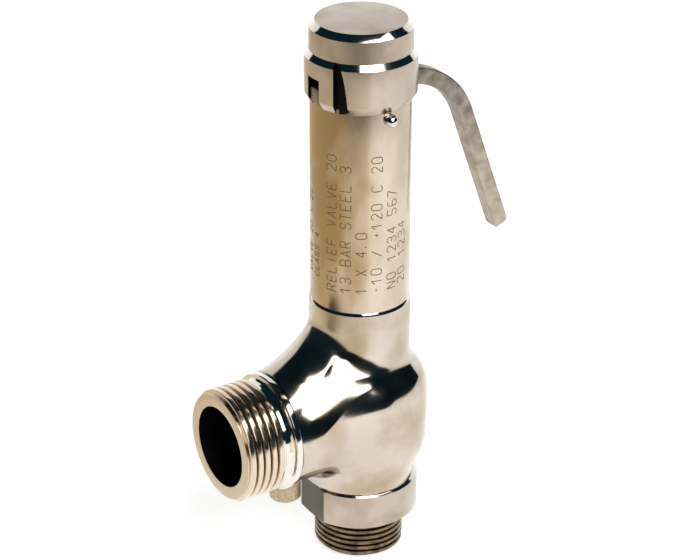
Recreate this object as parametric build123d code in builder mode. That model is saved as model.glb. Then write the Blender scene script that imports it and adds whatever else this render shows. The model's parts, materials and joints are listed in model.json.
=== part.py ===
"""Spring-loaded pressure relief valve with a lift lever, G3/4 inlet by G1 outlet, as separate pieces.

Millimetres. +Z runs up the valve axis, the outlet points along -X and the lever along +X. The origin is on
the valve axis, in the end face of the inlet nozzle.
"""

from build123d import *
import math
import os

os.makedirs("parts", exist_ok=True)

# ---- threads, as concentric ridges at the real pitch, depth and flank angle ----
FLANK_ANGLE = 27.5
INLET_THREAD_R = 13.22
INLET_PITCH = 1.814
INLET_DEPTH = 1.162
INLET_RIDGES = 6
OUTLET_THREAD_R = 16.62
OUTLET_PITCH = 2.309
OUTLET_DEPTH = 1.479
OUTLET_RIDGES = 6

# ---- heights on the valve axis ----
COLLAR_BOTTOM = 12.8
COLLAR_TOP = 24.4
NOZZLE_SPIGOT_TOP = 34.0
SEAT_Z = 42.0
OUTLET_Z = 46.6
NECK_BOTTOM = 68.0
NECK_TOP = 81.7
BONNET_SEAT = 83.1
CAP_BOTTOM = 143.9
BONNET_TOP = 155.0
CAP_TOP = 166.8

# ---- radii ----
ORIFICE_R = 6.75
INLET_BORE_R = 9.6
COLLAR_R = 17.5
FLAT_X = 16.4
CHAMBER_R = 15.9
NOZZLE_SPIGOT_R = 13.4
NECK_R = 14.7
BONNET_R = 14.28
BONNET_SPIGOT_R = 12.5
SPRING_BORE_R = 11.0
ADJUSTER_R = 12.0
CAP_R = 14.53
CAP_COLLAR_R = 15.79
CAP_THREAD_R = 13.6
SPINDLE_R = 3.0
JOINT_GAP = 0.05

# ---- outlet branch ----
OUTLET_FACE_X = -47.7
OUTLET_BORE_R = 12.0
OUTLET_END_R = 15.9
BRANCH_R = 16.1
SHOULDER_R = 17.4
SHOULDER_IN_X = -31.0
SHOULDER_OUT_X = -33.3
RELIEF_R = 14.9
DRAIN_BOSS_X = -26.0
DRAIN_BOSS_R = 4.6
DRAIN_BOSS_BOTTOM = 22.7
DRAIN_BOSS_EDGE = 0.5

# ---- lift lever and what it lifts ----
LEVER_THICK = 4.8
LEVER_WIDTH = 4.85
LEVER_END_X = -15.0
LEVER_TOP = 149.5
LEVER_BEND_X = 12.86
LEVER_BEND_R = 25.68
LEVER_BEND_ANGLE = 70.0
LEVER_HANDLE = 40.4
LEVER_CORNER = 1.6
SLOT_WIDTH = 5.4
SLOT_FLOOR = 144.3
WINDOW_TOP = 152.6
PIN_PLAY = 0.25
FULL_LIFT = 3.4


def ridges(start, pitch, depth, outer_r, count):
    """(axial position, radius) corners of concentric thread ridges, the first one centred at start."""
    flank = depth * math.tan(math.radians(FLANK_ANGLE))
    crest = (pitch - 2 * flank) / 2
    corners = []
    for index in range(count):
        centre = start + index * pitch
        corners.append((centre - crest / 2 - flank, outer_r - depth))
        corners.append((centre - crest / 2, outer_r))
        corners.append((centre + crest / 2, outer_r))
        corners.append((centre + crest / 2 + flank, outer_r - depth))
    return corners


# ---- inlet nozzle: G3/4 thread, collar with two spanner flats, spigot, and the raised seat lip ----
inlet_start = 1.25
inlet_ridges = ridges(inlet_start, INLET_PITCH, INLET_DEPTH, INLET_THREAD_R, INLET_RIDGES)
inlet_corners = [(r, z) for z, r in inlet_ridges]
inlet_root_r = INLET_THREAD_R - INLET_DEPTH
inlet_bore_top = 8.0
throat_bottom = 22.0
collar_bevel = 1.1
collar_bevel_height = 0.6
collar_edge = 0.4
seat_lip_r = 8.4
seat_lip_bottom = 39.6
seat_tube_r = 11.0
seat_tube_top = 36.6

with BuildPart() as inlet_nozzle:
    with BuildSketch(Plane.XZ):
        with BuildLine():
            Polyline(
                (INLET_BORE_R, 0),
                (inlet_root_r, 0),
                *inlet_corners,
                (inlet_root_r, COLLAR_BOTTOM),
                (COLLAR_R - collar_edge, COLLAR_BOTTOM),
                (COLLAR_R, COLLAR_BOTTOM + collar_edge),
                (COLLAR_R, COLLAR_TOP - collar_bevel_height),
                (COLLAR_R - collar_bevel, COLLAR_TOP),
                (NOZZLE_SPIGOT_R, COLLAR_TOP),
                (NOZZLE_SPIGOT_R, NOZZLE_SPIGOT_TOP),
                (seat_tube_r, NOZZLE_SPIGOT_TOP),
                (seat_tube_r, seat_tube_top),
                (seat_lip_r, seat_lip_bottom),
                (seat_lip_r, SEAT_Z),
                (ORIFICE_R, SEAT_Z),
                (ORIFICE_R, throat_bottom),
                (INLET_BORE_R, inlet_bore_top),
                close=True,
            )
        make_face()
    revolve(axis=Axis.Z)
    flat_depth = COLLAR_R
    with BuildSketch(Plane.XY.offset(COLLAR_BOTTOM)):
        with Locations((FLAT_X + flat_depth / 2, 0), (-FLAT_X - flat_depth / 2, 0)):
            Rectangle(flat_depth, 3 * COLLAR_R)
    extrude(amount=COLLAR_TOP - COLLAR_BOTTOM, mode=Mode.SUBTRACT)
inlet_nozzle.part.label = "inlet_nozzle"
export_step(inlet_nozzle.part, "parts/inlet_nozzle.step")

# ---- nozzle gasket: flat ring in a recess of the body's underside ----
gasket_thick = 1.0
nozzle_gasket_r = 15.4

with BuildPart() as nozzle_gasket:
    with BuildSketch(Plane.XY.offset(COLLAR_TOP)):
        Circle(nozzle_gasket_r)
        Circle(NOZZLE_SPIGOT_R + JOINT_GAP, mode=Mode.SUBTRACT)
    extrude(amount=gasket_thick)
nozzle_gasket.part.label = "nozzle_gasket"
export_step(nozzle_gasket.part, "parts/nozzle_gasket.step")

# ---- valve body: cast bulb and neck, outlet branch with its web, G1 thread and drain boss ----
body_foot_r = 16.4
waist = (16.5, 27.0)
bulb = [(17.4, 30.1), (19.2, 33.7), (20.0, 40.0), (20.05, 49.0), (19.5, 55.8), (17.5, 60.0), (15.1, 64.0)]
chamber_top = 55.5
neck_bore_r = 11.8
neck_bore_bottom = 61.0
bonnet_thread_bottom = 70.5
bonnet_gasket_r = 13.5
bonnet_gasket_thick = 0.8
outlet_first_ridge = -46.55
relief_cone = 0.9
outlet_bore_depth = 18.0
passage_r = 11.5
# oval sections along X: (x, height of the top edge, half width)
fairing_sections = [(-31.0, 62.8, 16.0), (-22.0, 63.6, 16.6), (-13.0, 64.6, 17.6), (-4.0, 65.0, 19.0)]
fairing_bottom = 30.8
web_sections = [
    (-31.0, 62.9, 13.5),
    (-25.0, 67.8, 12.4),
    (-18.5, 74.3, 11.8),
    (-13.5, 78.8, 11.6),
    (-4.0, 80.0, 11.0),
]
web_bottom = 40.0
drain_boss_root = OUTLET_Z - BRANCH_R + 1.0
outlet_corners = ridges(outlet_first_ridge, OUTLET_PITCH, OUTLET_DEPTH, OUTLET_THREAD_R, OUTLET_RIDGES)

with BuildPart() as valve_body:
    with BuildSketch(Plane.XZ):
        with BuildLine():
            Polyline((NECK_R, NECK_BOTTOM), (NECK_R, NECK_TOP), (BONNET_R, BONNET_SEAT), (0, BONNET_SEAT),
                     (0, COLLAR_TOP), (body_foot_r, COLLAR_TOP), waist)
            Spline(waist, *bulb, (NECK_R, NECK_BOTTOM), tangents=[(0, 1), (0, 1)])
        make_face()
    revolve(axis=Axis.Z)
    for sections, section_bottom in ((fairing_sections, fairing_bottom), (web_sections, web_bottom)):
        ovals = []
        for section_x, section_top, half_width in sections:
            with BuildSketch(Plane.YZ.offset(section_x), mode=Mode.PRIVATE) as oval:
                with Locations((0, (section_top + section_bottom) / 2)):
                    Ellipse(half_width, (section_top - section_bottom) / 2)
            ovals.append(oval.sketch.face())
        loft(ovals)
    outlet_plane = Plane(origin=(0, 0, OUTLET_Z), x_dir=(1, 0, 0), z_dir=(0, -1, 0))
    with BuildSketch(outlet_plane):
        with BuildLine():
            Polyline(
                (0, 0),
                (OUTLET_FACE_X, 0),
                (OUTLET_FACE_X, OUTLET_END_R),
                *outlet_corners[1:],
                (SHOULDER_OUT_X - relief_cone, RELIEF_R),
                (SHOULDER_OUT_X, RELIEF_R),
                (SHOULDER_OUT_X, SHOULDER_R),
                (SHOULDER_IN_X, SHOULDER_R),
                (SHOULDER_IN_X, BRANCH_R),
                (0, BRANCH_R),
                close=True,
            )
        make_face()
    revolve(axis=Axis((0, 0, OUTLET_Z), (1, 0, 0)))
    with BuildSketch(Plane.XZ):
        with BuildLine():
            Polyline(
                (DRAIN_BOSS_X, DRAIN_BOSS_BOTTOM),
                (DRAIN_BOSS_X + DRAIN_BOSS_R - DRAIN_BOSS_EDGE, DRAIN_BOSS_BOTTOM),
                (DRAIN_BOSS_X + DRAIN_BOSS_R, DRAIN_BOSS_BOTTOM + DRAIN_BOSS_EDGE),
                (DRAIN_BOSS_X + DRAIN_BOSS_R, drain_boss_root),
                (DRAIN_BOSS_X, drain_boss_root),
                close=True,
            )
        make_face()
    revolve(axis=Axis((DRAIN_BOSS_X, 0, 0), (0, 0, 1)))
    with BuildSketch(Plane.XZ):
        with BuildLine():
            Polyline(
                (0, COLLAR_TOP),
                (nozzle_gasket_r, COLLAR_TOP),
                (nozzle_gasket_r, COLLAR_TOP + gasket_thick),
                (NOZZLE_SPIGOT_R + JOINT_GAP, COLLAR_TOP + gasket_thick),
                (NOZZLE_SPIGOT_R + JOINT_GAP, NOZZLE_SPIGOT_TOP),
                (CHAMBER_R, NOZZLE_SPIGOT_TOP),
                (CHAMBER_R, chamber_top),
                (neck_bore_r, neck_bore_bottom),
                (neck_bore_r, bonnet_thread_bottom),
                (BONNET_SPIGOT_R + JOINT_GAP, bonnet_thread_bottom),
                (BONNET_SPIGOT_R + JOINT_GAP, BONNET_SEAT - bonnet_gasket_thick),
                (bonnet_gasket_r, BONNET_SEAT - bonnet_gasket_thick),
                (bonnet_gasket_r, BONNET_SEAT),
                (0, BONNET_SEAT),
                close=True,
            )
        make_face()
    revolve(axis=Axis.Z, mode=Mode.SUBTRACT)
    with BuildSketch(Plane.YZ.offset(OUTLET_FACE_X)):
        with Locations((0, OUTLET_Z)):
            Circle(OUTLET_BORE_R)
    extrude(amount=outlet_bore_depth, mode=Mode.SUBTRACT)
    with BuildSketch(Plane.YZ.offset(OUTLET_FACE_X)):
        with Locations((0, OUTLET_Z)):
            Circle(passage_r)
    extrude(amount=-OUTLET_FACE_X, mode=Mode.SUBTRACT)
valve_body.part.label = "valve_body"
export_step(valve_body.part, "parts/valve_body.step")

# ---- bonnet gasket: flat ring in the rim of the body's neck ----
with BuildPart() as bonnet_gasket:
    with BuildSketch(Plane.XY.offset(BONNET_SEAT - bonnet_gasket_thick)):
        Circle(bonnet_gasket_r)
        Circle(BONNET_SPIGOT_R + JOINT_GAP, mode=Mode.SUBTRACT)
    extrude(amount=bonnet_gasket_thick)
bonnet_gasket.part.label = "bonnet_gasket"
export_step(bonnet_gasket.part, "parts/bonnet_gasket.step")

# ---- bonnet: long turned spring housing with a floor, a lever slot and a hole for the lock pin ----
bonnet_foot = 71.0
floor_top = 76.0
bush_hole_r = 5.0
adjuster_bore_bottom = 127.6
thread_neck_bottom = 145.2
LOCK_PIN_Z = 141.7
LOCK_PIN_R = 0.9
BALL_R = 1.82
BALL_Y = 15.1
lock_pin_inner = 10.4

with BuildPart() as bonnet:
    with BuildSketch(Plane.XZ):
        with BuildLine():
            Polyline(
                (bush_hole_r, bonnet_foot),
                (BONNET_SPIGOT_R, bonnet_foot),
                (BONNET_SPIGOT_R, BONNET_SEAT),
                (BONNET_R, BONNET_SEAT),
                (BONNET_R, thread_neck_bottom),
                (CAP_THREAD_R, thread_neck_bottom),
                (CAP_THREAD_R, BONNET_TOP),
                (ADJUSTER_R, BONNET_TOP),
                (ADJUSTER_R, adjuster_bore_bottom),
                (SPRING_BORE_R, adjuster_bore_bottom),
                (SPRING_BORE_R, floor_top),
                (bush_hole_r, floor_top),
                close=True,
            )
        make_face()
    revolve(axis=Axis.Z)
    with BuildSketch(Plane.XY.offset(SLOT_FLOOR)):
        Rectangle(3 * BONNET_R, SLOT_WIDTH)
    extrude(amount=BONNET_TOP - SLOT_FLOOR, mode=Mode.SUBTRACT)
    with BuildSketch(Plane.XZ.offset(lock_pin_inner)):
        with Locations((0, LOCK_PIN_Z)):
            Circle(LOCK_PIN_R)
    extrude(amount=BONNET_R, mode=Mode.SUBTRACT)
    with Locations((0, -BALL_Y, LOCK_PIN_Z)):
        Sphere(BALL_R, mode=Mode.SUBTRACT)
bonnet.part.label = "bonnet"
export_step(bonnet.part, "parts/bonnet.step")

# ---- guide bush in the bonnet floor, with its circlip underneath ----
BUSH_CLEARANCE = 0.06
bush_flange_r = 7.0
bush_flange_thick = 1.2
bush_foot = 68.6
circlip_thick = 0.7
circlip_r = 6.2
circlip_groove_r = 4.5

with BuildPart() as guide_bush:
    with BuildSketch(Plane.XZ):
        with BuildLine():
            Polyline(
                (SPINDLE_R + BUSH_CLEARANCE, bush_foot),
                (bush_hole_r, bush_foot),
                (bush_hole_r, bonnet_foot - circlip_thick - JOINT_GAP),
                (circlip_groove_r, bonnet_foot - circlip_thick - JOINT_GAP),
                (circlip_groove_r, bonnet_foot),
                (bush_hole_r, bonnet_foot),
                (bush_hole_r, floor_top),
                (bush_flange_r, floor_top),
                (bush_flange_r, floor_top + bush_flange_thick),
                (SPINDLE_R + BUSH_CLEARANCE, floor_top + bush_flange_thick),
                close=True,
            )
        make_face()
    revolve(axis=Axis.Z)
guide_bush.part.label = "guide_bush"
export_step(guide_bush.part, "parts/guide_bush.step")


def circlip_sketch(groove_r, outer_r):
    """Open ring: a circlip's outline, with a gap as wide as the groove's radius."""
    with BuildSketch() as outline:
        Circle(outer_r)
        Circle(groove_r, mode=Mode.SUBTRACT)
        with Locations((outer_r, 0)):
            Rectangle(2 * outer_r, groove_r, mode=Mode.SUBTRACT)
    return outline.sketch


with BuildPart() as guide_circlip:
    with BuildSketch(Plane.XY.offset(bonnet_foot - circlip_thick)):
        add(circlip_sketch(circlip_groove_r, circlip_r))
    extrude(amount=circlip_thick)
guide_circlip.part.label = "guide_circlip"
export_step(guide_circlip.part, "parts/guide_circlip.step")

# ---- valve disc: holder with a seal pocket, a skirt round the seat lip and a hub for the spindle ----
DISC_R = 10.8
SEAL_R = 8.7
SEAL_TOP = 44.4
seat_contact_gap = 0.03
skirt_inner_r = 9.5
skirt_bottom = 41.2
disc_top = 48.6
hub_r = 6.2
hub_top = 57.0
SPINDLE_FOOT = 49.8
DISC_PIN_Z = 53.4
DISC_PIN_R = 1.0
SEAL_SCREW_R = 2.0
seal_screw_top = 47.4

with BuildPart() as valve_disc:
    with BuildSketch(Plane.XZ):
        with BuildLine():
            Polyline(
                (SEAL_SCREW_R, SEAL_TOP),
                (SEAL_R, SEAL_TOP),
                (SEAL_R, SEAT_Z + seat_contact_gap),
                (skirt_inner_r, SEAT_Z + seat_contact_gap),
                (skirt_inner_r, skirt_bottom),
                (DISC_R, skirt_bottom),
                (DISC_R, disc_top),
                (hub_r, disc_top),
                (hub_r, hub_top),
                (SPINDLE_R, hub_top),
                (SPINDLE_R, SPINDLE_FOOT),
                (0, SPINDLE_FOOT),
                (0, seal_screw_top),
                (SEAL_SCREW_R, seal_screw_top),
                close=True,
            )
        make_face()
    revolve(axis=Axis.Z)
    with BuildSketch(Plane.XZ.offset(-hub_r)):
        with Locations((0, DISC_PIN_Z)):
            Circle(DISC_PIN_R)
    extrude(amount=2 * hub_r, mode=Mode.SUBTRACT)
valve_disc.part.label = "valve_disc"
export_step(valve_disc.part, "parts/valve_disc.step")

# ---- disc seal, its washer and its screw ----
washer_r = 5.4
washer_thick = 0.9
screw_head_r = 3.5
screw_head_height = 2.4
hex_socket_r = 1.45
hex_socket_depth = 1.4

with BuildPart() as disc_seal:
    with BuildSketch(Plane.XY.offset(SEAT_Z + seat_contact_gap)):
        Circle(SEAL_R)
        Circle(SEAL_SCREW_R, mode=Mode.SUBTRACT)
    extrude(amount=SEAL_TOP - SEAT_Z - seat_contact_gap)
disc_seal.part.label = "disc_seal"
export_step(disc_seal.part, "parts/disc_seal.step")

washer_bottom = SEAT_Z + seat_contact_gap - washer_thick
with BuildPart() as seal_washer:
    with BuildSketch(Plane.XY.offset(washer_bottom)):
        Circle(washer_r)
        Circle(SEAL_SCREW_R, mode=Mode.SUBTRACT)
    extrude(amount=washer_thick)
seal_washer.part.label = "seal_washer"
export_step(seal_washer.part, "parts/seal_washer.step")

with BuildPart() as seal_screw:
    with BuildSketch(Plane.XY.offset(washer_bottom - screw_head_height)):
        Circle(screw_head_r)
    extrude(amount=screw_head_height)
    with BuildSketch(Plane.XY.offset(washer_bottom)):
        Circle(SEAL_SCREW_R)
    extrude(amount=seal_screw_top - washer_bottom)
    with BuildSketch(Plane.XY.offset(washer_bottom - screw_head_height)):
        RegularPolygon(hex_socket_r, 6)
    extrude(amount=hex_socket_depth, mode=Mode.SUBTRACT)
seal_screw.part.label = "seal_screw"
export_step(seal_screw.part, "parts/seal_screw.step")

# ---- spindle: from the disc's hub to the lift head, with a groove for the circlip ----
SPINDLE_TOP = 140.0
PLATE_BOTTOM = 88.0
spindle_circlip_thick = 0.8
spindle_groove_r = 2.4
spindle_circlip_r = 5.0
spindle_tip = 0.5

with BuildPart() as spindle:
    with BuildSketch(Plane.XZ):
        with BuildLine():
            Polyline(
                (0, SPINDLE_FOOT),
                (SPINDLE_R, SPINDLE_FOOT),
                (SPINDLE_R, PLATE_BOTTOM - spindle_circlip_thick),
                (spindle_groove_r, PLATE_BOTTOM - spindle_circlip_thick),
                (spindle_groove_r, PLATE_BOTTOM),
                (SPINDLE_R, PLATE_BOTTOM),
                (SPINDLE_R, SPINDLE_TOP - spindle_tip),
                (SPINDLE_R - spindle_tip, SPINDLE_TOP),
                (0, SPINDLE_TOP),
                close=True,
            )
        make_face()
    revolve(axis=Axis.Z)
    with BuildSketch(Plane.XZ.offset(-hub_r)):
        with Locations((0, DISC_PIN_Z)):
            Circle(DISC_PIN_R)
    extrude(amount=2 * hub_r, mode=Mode.SUBTRACT)
spindle.part.label = "spindle"
export_step(spindle.part, "parts/spindle.step")

with BuildPart() as disc_pin:
    with BuildSketch(Plane.XZ.offset(-hub_r)):
        with Locations((0, DISC_PIN_Z)):
            Circle(DISC_PIN_R)
    extrude(amount=2 * hub_r)
disc_pin.part.label = "disc_pin"
export_step(disc_pin.part, "parts/disc_pin.step")

with BuildPart() as spindle_circlip:
    with BuildSketch(Plane.XY.offset(PLATE_BOTTOM - spindle_circlip_thick)):
        add(circlip_sketch(spindle_groove_r, spindle_circlip_r))
    extrude(amount=spindle_circlip_thick)
spindle_circlip.part.label = "spindle_circlip"
export_step(spindle_circlip.part, "parts/spindle_circlip.step")

# ---- spring and its two plates ----
PLATE_R = 10.3
plate_rim = 2.2
plate_hub_r = 6.6
plate_hub = 2.0
plate_bore_gap = 0.5
UPPER_PLATE_TOP = 128.6
WIRE_R = 1.2
SPRING_R = 8.8
SPRING_TURNS = 6.5
spring_bottom = PLATE_BOTTOM + plate_rim
spring_top = UPPER_PLATE_TOP - plate_rim
spring_height = spring_top - spring_bottom - 2 * WIRE_R - 2 * JOINT_GAP

with BuildPart() as lower_spring_plate:
    with BuildSketch(Plane.XY.offset(PLATE_BOTTOM)):
        Circle(PLATE_R)
    extrude(amount=plate_rim)
    with BuildSketch(Plane.XY.offset(spring_bottom)):
        Circle(plate_hub_r)
    extrude(amount=plate_hub)
    with BuildSketch(Plane.XY.offset(PLATE_BOTTOM)):
        Circle(SPINDLE_R)
    extrude(amount=plate_rim + plate_hub, mode=Mode.SUBTRACT)
lower_spring_plate.part.label = "lower_spring_plate"
export_step(lower_spring_plate.part, "parts/lower_spring_plate.step")

with BuildPart() as upper_spring_plate:
    with BuildSketch(Plane.XY.offset(spring_top)):
        Circle(PLATE_R)
    extrude(amount=plate_rim)
    with BuildSketch(Plane.XY.offset(spring_top - plate_hub)):
        Circle(plate_hub_r)
    extrude(amount=plate_hub)
    with BuildSketch(Plane.XY.offset(spring_top - plate_hub)):
        Circle(SPINDLE_R + plate_bore_gap)
    extrude(amount=plate_rim + plate_hub, mode=Mode.SUBTRACT)
upper_spring_plate.part.label = "upper_spring_plate"
export_step(upper_spring_plate.part, "parts/upper_spring_plate.step")

spring_start = spring_bottom + WIRE_R + JOINT_GAP
with BuildPart() as relief_spring:
    with BuildLine():
        coil = Helix(spring_height / SPRING_TURNS, spring_height, SPRING_R, center=(0, 0, spring_start))
    with BuildSketch(Plane(origin=coil @ 0, z_dir=coil % 0)):
        Circle(WIRE_R)
    sweep(path=coil, is_frenet=True)
relief_spring.part.label = "relief_spring"
export_step(relief_spring.part, "parts/relief_spring.step")

# ---- adjusting screw, a cup that presses the upper plate, and its lock nut ----
ADJUSTER_TOP = 138.6
adjuster_floor = 2.0
adjuster_cup_r = 7.4
adjuster_bore_r = 3.6
nut_bottom = 139.2
nut_top = 143.2
nut_bore_r = 7.6
slot_depth = 1.8
spanner_slot = 2.6

with BuildPart() as adjusting_screw:
    with BuildSketch(Plane.XZ):
        with BuildLine():
            Polyline(
                (adjuster_bore_r, UPPER_PLATE_TOP),
                (ADJUSTER_R - JOINT_GAP, UPPER_PLATE_TOP),
                (ADJUSTER_R - JOINT_GAP, ADJUSTER_TOP),
                (adjuster_cup_r, ADJUSTER_TOP),
                (adjuster_cup_r, UPPER_PLATE_TOP + adjuster_floor),
                (adjuster_bore_r, UPPER_PLATE_TOP + adjuster_floor),
                close=True,
            )
        make_face()
    revolve(axis=Axis.Z)
    with BuildSketch(Plane.XY.offset(ADJUSTER_TOP)):
        Rectangle(3 * ADJUSTER_R, spanner_slot)
    extrude(amount=-slot_depth, mode=Mode.SUBTRACT)
adjusting_screw.part.label = "adjusting_screw"
export_step(adjusting_screw.part, "parts/adjusting_screw.step")

with BuildPart() as adjusting_lock_nut:
    with BuildSketch(Plane.XY.offset(nut_bottom)):
        Circle(ADJUSTER_R - JOINT_GAP)
        Circle(nut_bore_r, mode=Mode.SUBTRACT)
    extrude(amount=nut_top - nut_bottom)
    with BuildSketch(Plane.XY.offset(nut_top)):
        Rectangle(3 * ADJUSTER_R, spanner_slot)
    extrude(amount=-slot_depth, mode=Mode.SUBTRACT)
    with BuildSketch(Plane.XZ.offset(lock_pin_inner)):
        with Locations((0, LOCK_PIN_Z)):
            Circle(LOCK_PIN_R)
    extrude(amount=BONNET_R, mode=Mode.SUBTRACT)
adjusting_lock_nut.part.label = "adjusting_lock_nut"
export_step(adjusting_lock_nut.part, "parts/adjusting_lock_nut.step")

# ---- lock pin: ball head outside, shank through the bonnet wall into the lock nut ----
with BuildPart() as lock_pin:
    with BuildSketch(Plane.XZ.offset(lock_pin_inner)):
        with Locations((0, LOCK_PIN_Z)):
            Circle(LOCK_PIN_R)
    extrude(amount=BALL_Y - lock_pin_inner)
    with Locations((0, -BALL_Y, LOCK_PIN_Z)):
        Sphere(BALL_R)
lock_pin.part.label = "lock_pin"
export_step(lock_pin.part, "parts/lock_pin.step")

# ---- lever cap: turned cap with a larger collar, a lever window on both sides and one spanner notch ----
cap_bevel = 1.7
collar_foot_r = 14.4
collar_foot_height = 2.4
collar_shoulder = 157.1
collar_bevel_top = 158.7
cap_thread_bottom = 145.3
cap_thread_top = 155.4
cap_cavity_r = 11.4
cap_cavity_top = 163.8
notch_angle = 207.6
notch_width_top = 2.3
notch_width_bottom = 4.3
notch_depth = 1.5

with BuildPart() as lever_cap:
    with BuildSketch(Plane.XZ):
        with BuildLine():
            Polyline(
                (collar_foot_r, CAP_BOTTOM),
                (CAP_COLLAR_R, CAP_BOTTOM + collar_foot_height),
                (CAP_COLLAR_R, collar_shoulder),
                (CAP_R, collar_bevel_top),
                (CAP_R, CAP_TOP - cap_bevel),
                (CAP_R - cap_bevel, CAP_TOP),
                (0, CAP_TOP),
                (0, cap_cavity_top),
                (cap_cavity_r, cap_cavity_top),
                (cap_cavity_r, cap_thread_top),
                (CAP_THREAD_R + JOINT_GAP, cap_thread_top),
                (CAP_THREAD_R + JOINT_GAP, cap_thread_bottom),
                (BONNET_R + JOINT_GAP, cap_thread_bottom),
                (BONNET_R + JOINT_GAP, CAP_BOTTOM),
                close=True,
            )
        make_face()
    revolve(axis=Axis.Z)
    with BuildSketch(Plane.XY.offset(CAP_BOTTOM)):
        Rectangle(3 * CAP_COLLAR_R, SLOT_WIDTH)
    extrude(amount=WINDOW_TOP - CAP_BOTTOM, mode=Mode.SUBTRACT)
    # one wall of the notch is radial, the other slants, so that the notch is wider at the foot
    notch_plane = Plane.XY.rotated((0, 0, notch_angle))
    for notch_z, notch_width in ((CAP_BOTTOM, notch_width_bottom), (collar_bevel_top, notch_width_top)):
        with BuildSketch(notch_plane.offset(notch_z)):
            with Locations((CAP_COLLAR_R + CAP_COLLAR_R / 2 - notch_depth, notch_width / 2)):
                Rectangle(CAP_COLLAR_R, notch_width)
    loft(mode=Mode.SUBTRACT)
lever_cap.part.label = "lever_cap"
export_step(lever_cap.part, "parts/lever_cap.step")

# ---- lift lever: square bar, straight through the cap, then a bend of one radius down to the handle ----
lever_centre_z = LEVER_TOP - LEVER_WIDTH / 2
bend_centre = (LEVER_BEND_X, LEVER_TOP - LEVER_BEND_R)
bend_mid_r = LEVER_BEND_R - LEVER_WIDTH / 2
handle_turn = math.radians(LEVER_BEND_ANGLE)
handle_start = (
    bend_centre[0] + bend_mid_r * math.sin(handle_turn),
    bend_centre[1] + bend_mid_r * math.cos(handle_turn),
)
handle_end = (
    handle_start[0] + LEVER_HANDLE * math.cos(handle_turn),
    handle_start[1] - LEVER_HANDLE * math.sin(handle_turn),
)

with BuildPart() as lift_lever:
    with BuildSketch(Plane.XZ.offset(-LEVER_THICK / 2)):
        with BuildLine() as lever_path:
            Line((LEVER_END_X, lever_centre_z), (LEVER_BEND_X, lever_centre_z))
            TangentArc((LEVER_BEND_X, lever_centre_z), handle_start, tangent=(1, 0))
            Line(handle_start, handle_end)
        trace(lever_path.line, line_width=LEVER_WIDTH)
        with Locations(handle_end):
            Circle(LEVER_WIDTH / 2)
    extrude(amount=LEVER_THICK)
    inner_end = lift_lever.edges().filter_by(Axis.Y).group_by(Axis.X)[0]
    fillet(inner_end, LEVER_CORNER)
lift_lever.part.label = "lift_lever"
export_step(lift_lever.part, "parts/lift_lever.step")

# ---- lift head: forked head on the spindle's thread, with its nut below and the pin above the lever ----
HEAD_R = 6.0
HEAD_BOTTOM = 133.5
lever_play = 0.35
FORK_FLOOR = LEVER_TOP - LEVER_WIDTH - FULL_LIFT - lever_play
CROSS_PIN_R = 1.5
CROSS_PIN_Z = LEVER_TOP + PIN_PLAY + CROSS_PIN_R
HEAD_TOP = CROSS_PIN_Z + 2 * CROSS_PIN_R
head_nut_flats = 9.8
head_nut_thick = 2.4
head_edge = 0.5

with BuildPart() as lift_head:
    with BuildSketch(Plane.XY.offset(HEAD_BOTTOM)):
        Circle(HEAD_R)
    extrude(amount=HEAD_TOP - HEAD_BOTTOM)
    chamfer(lift_head.edges().filter_by(GeomType.CIRCLE), head_edge)
    with BuildSketch(Plane.XY.offset(HEAD_BOTTOM)):
        Circle(SPINDLE_R)
    extrude(amount=SPINDLE_TOP - HEAD_BOTTOM, mode=Mode.SUBTRACT)
    with BuildSketch(Plane.XY.offset(FORK_FLOOR)):
        Rectangle(3 * HEAD_R, SLOT_WIDTH)
    extrude(amount=HEAD_TOP - FORK_FLOOR, mode=Mode.SUBTRACT)
    with BuildSketch(Plane.XZ.offset(-HEAD_R)):
        with Locations((0, CROSS_PIN_Z)):
            Circle(CROSS_PIN_R)
    extrude(amount=2 * HEAD_R, mode=Mode.SUBTRACT)
lift_head.part.label = "lift_head"
export_step(lift_head.part, "parts/lift_head.step")

with BuildPart() as lift_head_nut:
    with BuildSketch(Plane.XY.offset(HEAD_BOTTOM - head_nut_thick)):
        RegularPolygon(head_nut_flats / 2, 6, major_radius=False)
        Circle(SPINDLE_R, mode=Mode.SUBTRACT)
    extrude(amount=head_nut_thick)
lift_head_nut.part.label = "lift_head_nut"
export_step(lift_head_nut.part, "parts/lift_head_nut.step")

cross_pin_half = math.sqrt(HEAD_R**2 - CROSS_PIN_R**2)
with BuildPart() as lift_cross_pin:
    with BuildSketch(Plane.XZ.offset(-cross_pin_half)):
        with Locations((0, CROSS_PIN_Z)):
            Circle(CROSS_PIN_R)
    extrude(amount=2 * cross_pin_half)
lift_cross_pin.part.label = "lift_cross_pin"
export_step(lift_cross_pin.part, "parts/lift_cross_pin.step")
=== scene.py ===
# %% [markdown]
# # Pressure relief valve, the looks
# A valve like this is a polished casting with turned steel pieces screwed into it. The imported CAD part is
# the fixed frame, and each finished piece below rides one of its bodies: the housing, the stem or the
# lever. The pieces could be modelled by eye, but then they would drift off the CAD, so they are built from
# its boxes. Lengths are in millimetres, and are turned into metres where a mesh is made.

# %% Load the frame
import json
import math

import bmesh
import bpy
import numpy as np
from mathutils import Matrix, Vector


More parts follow.
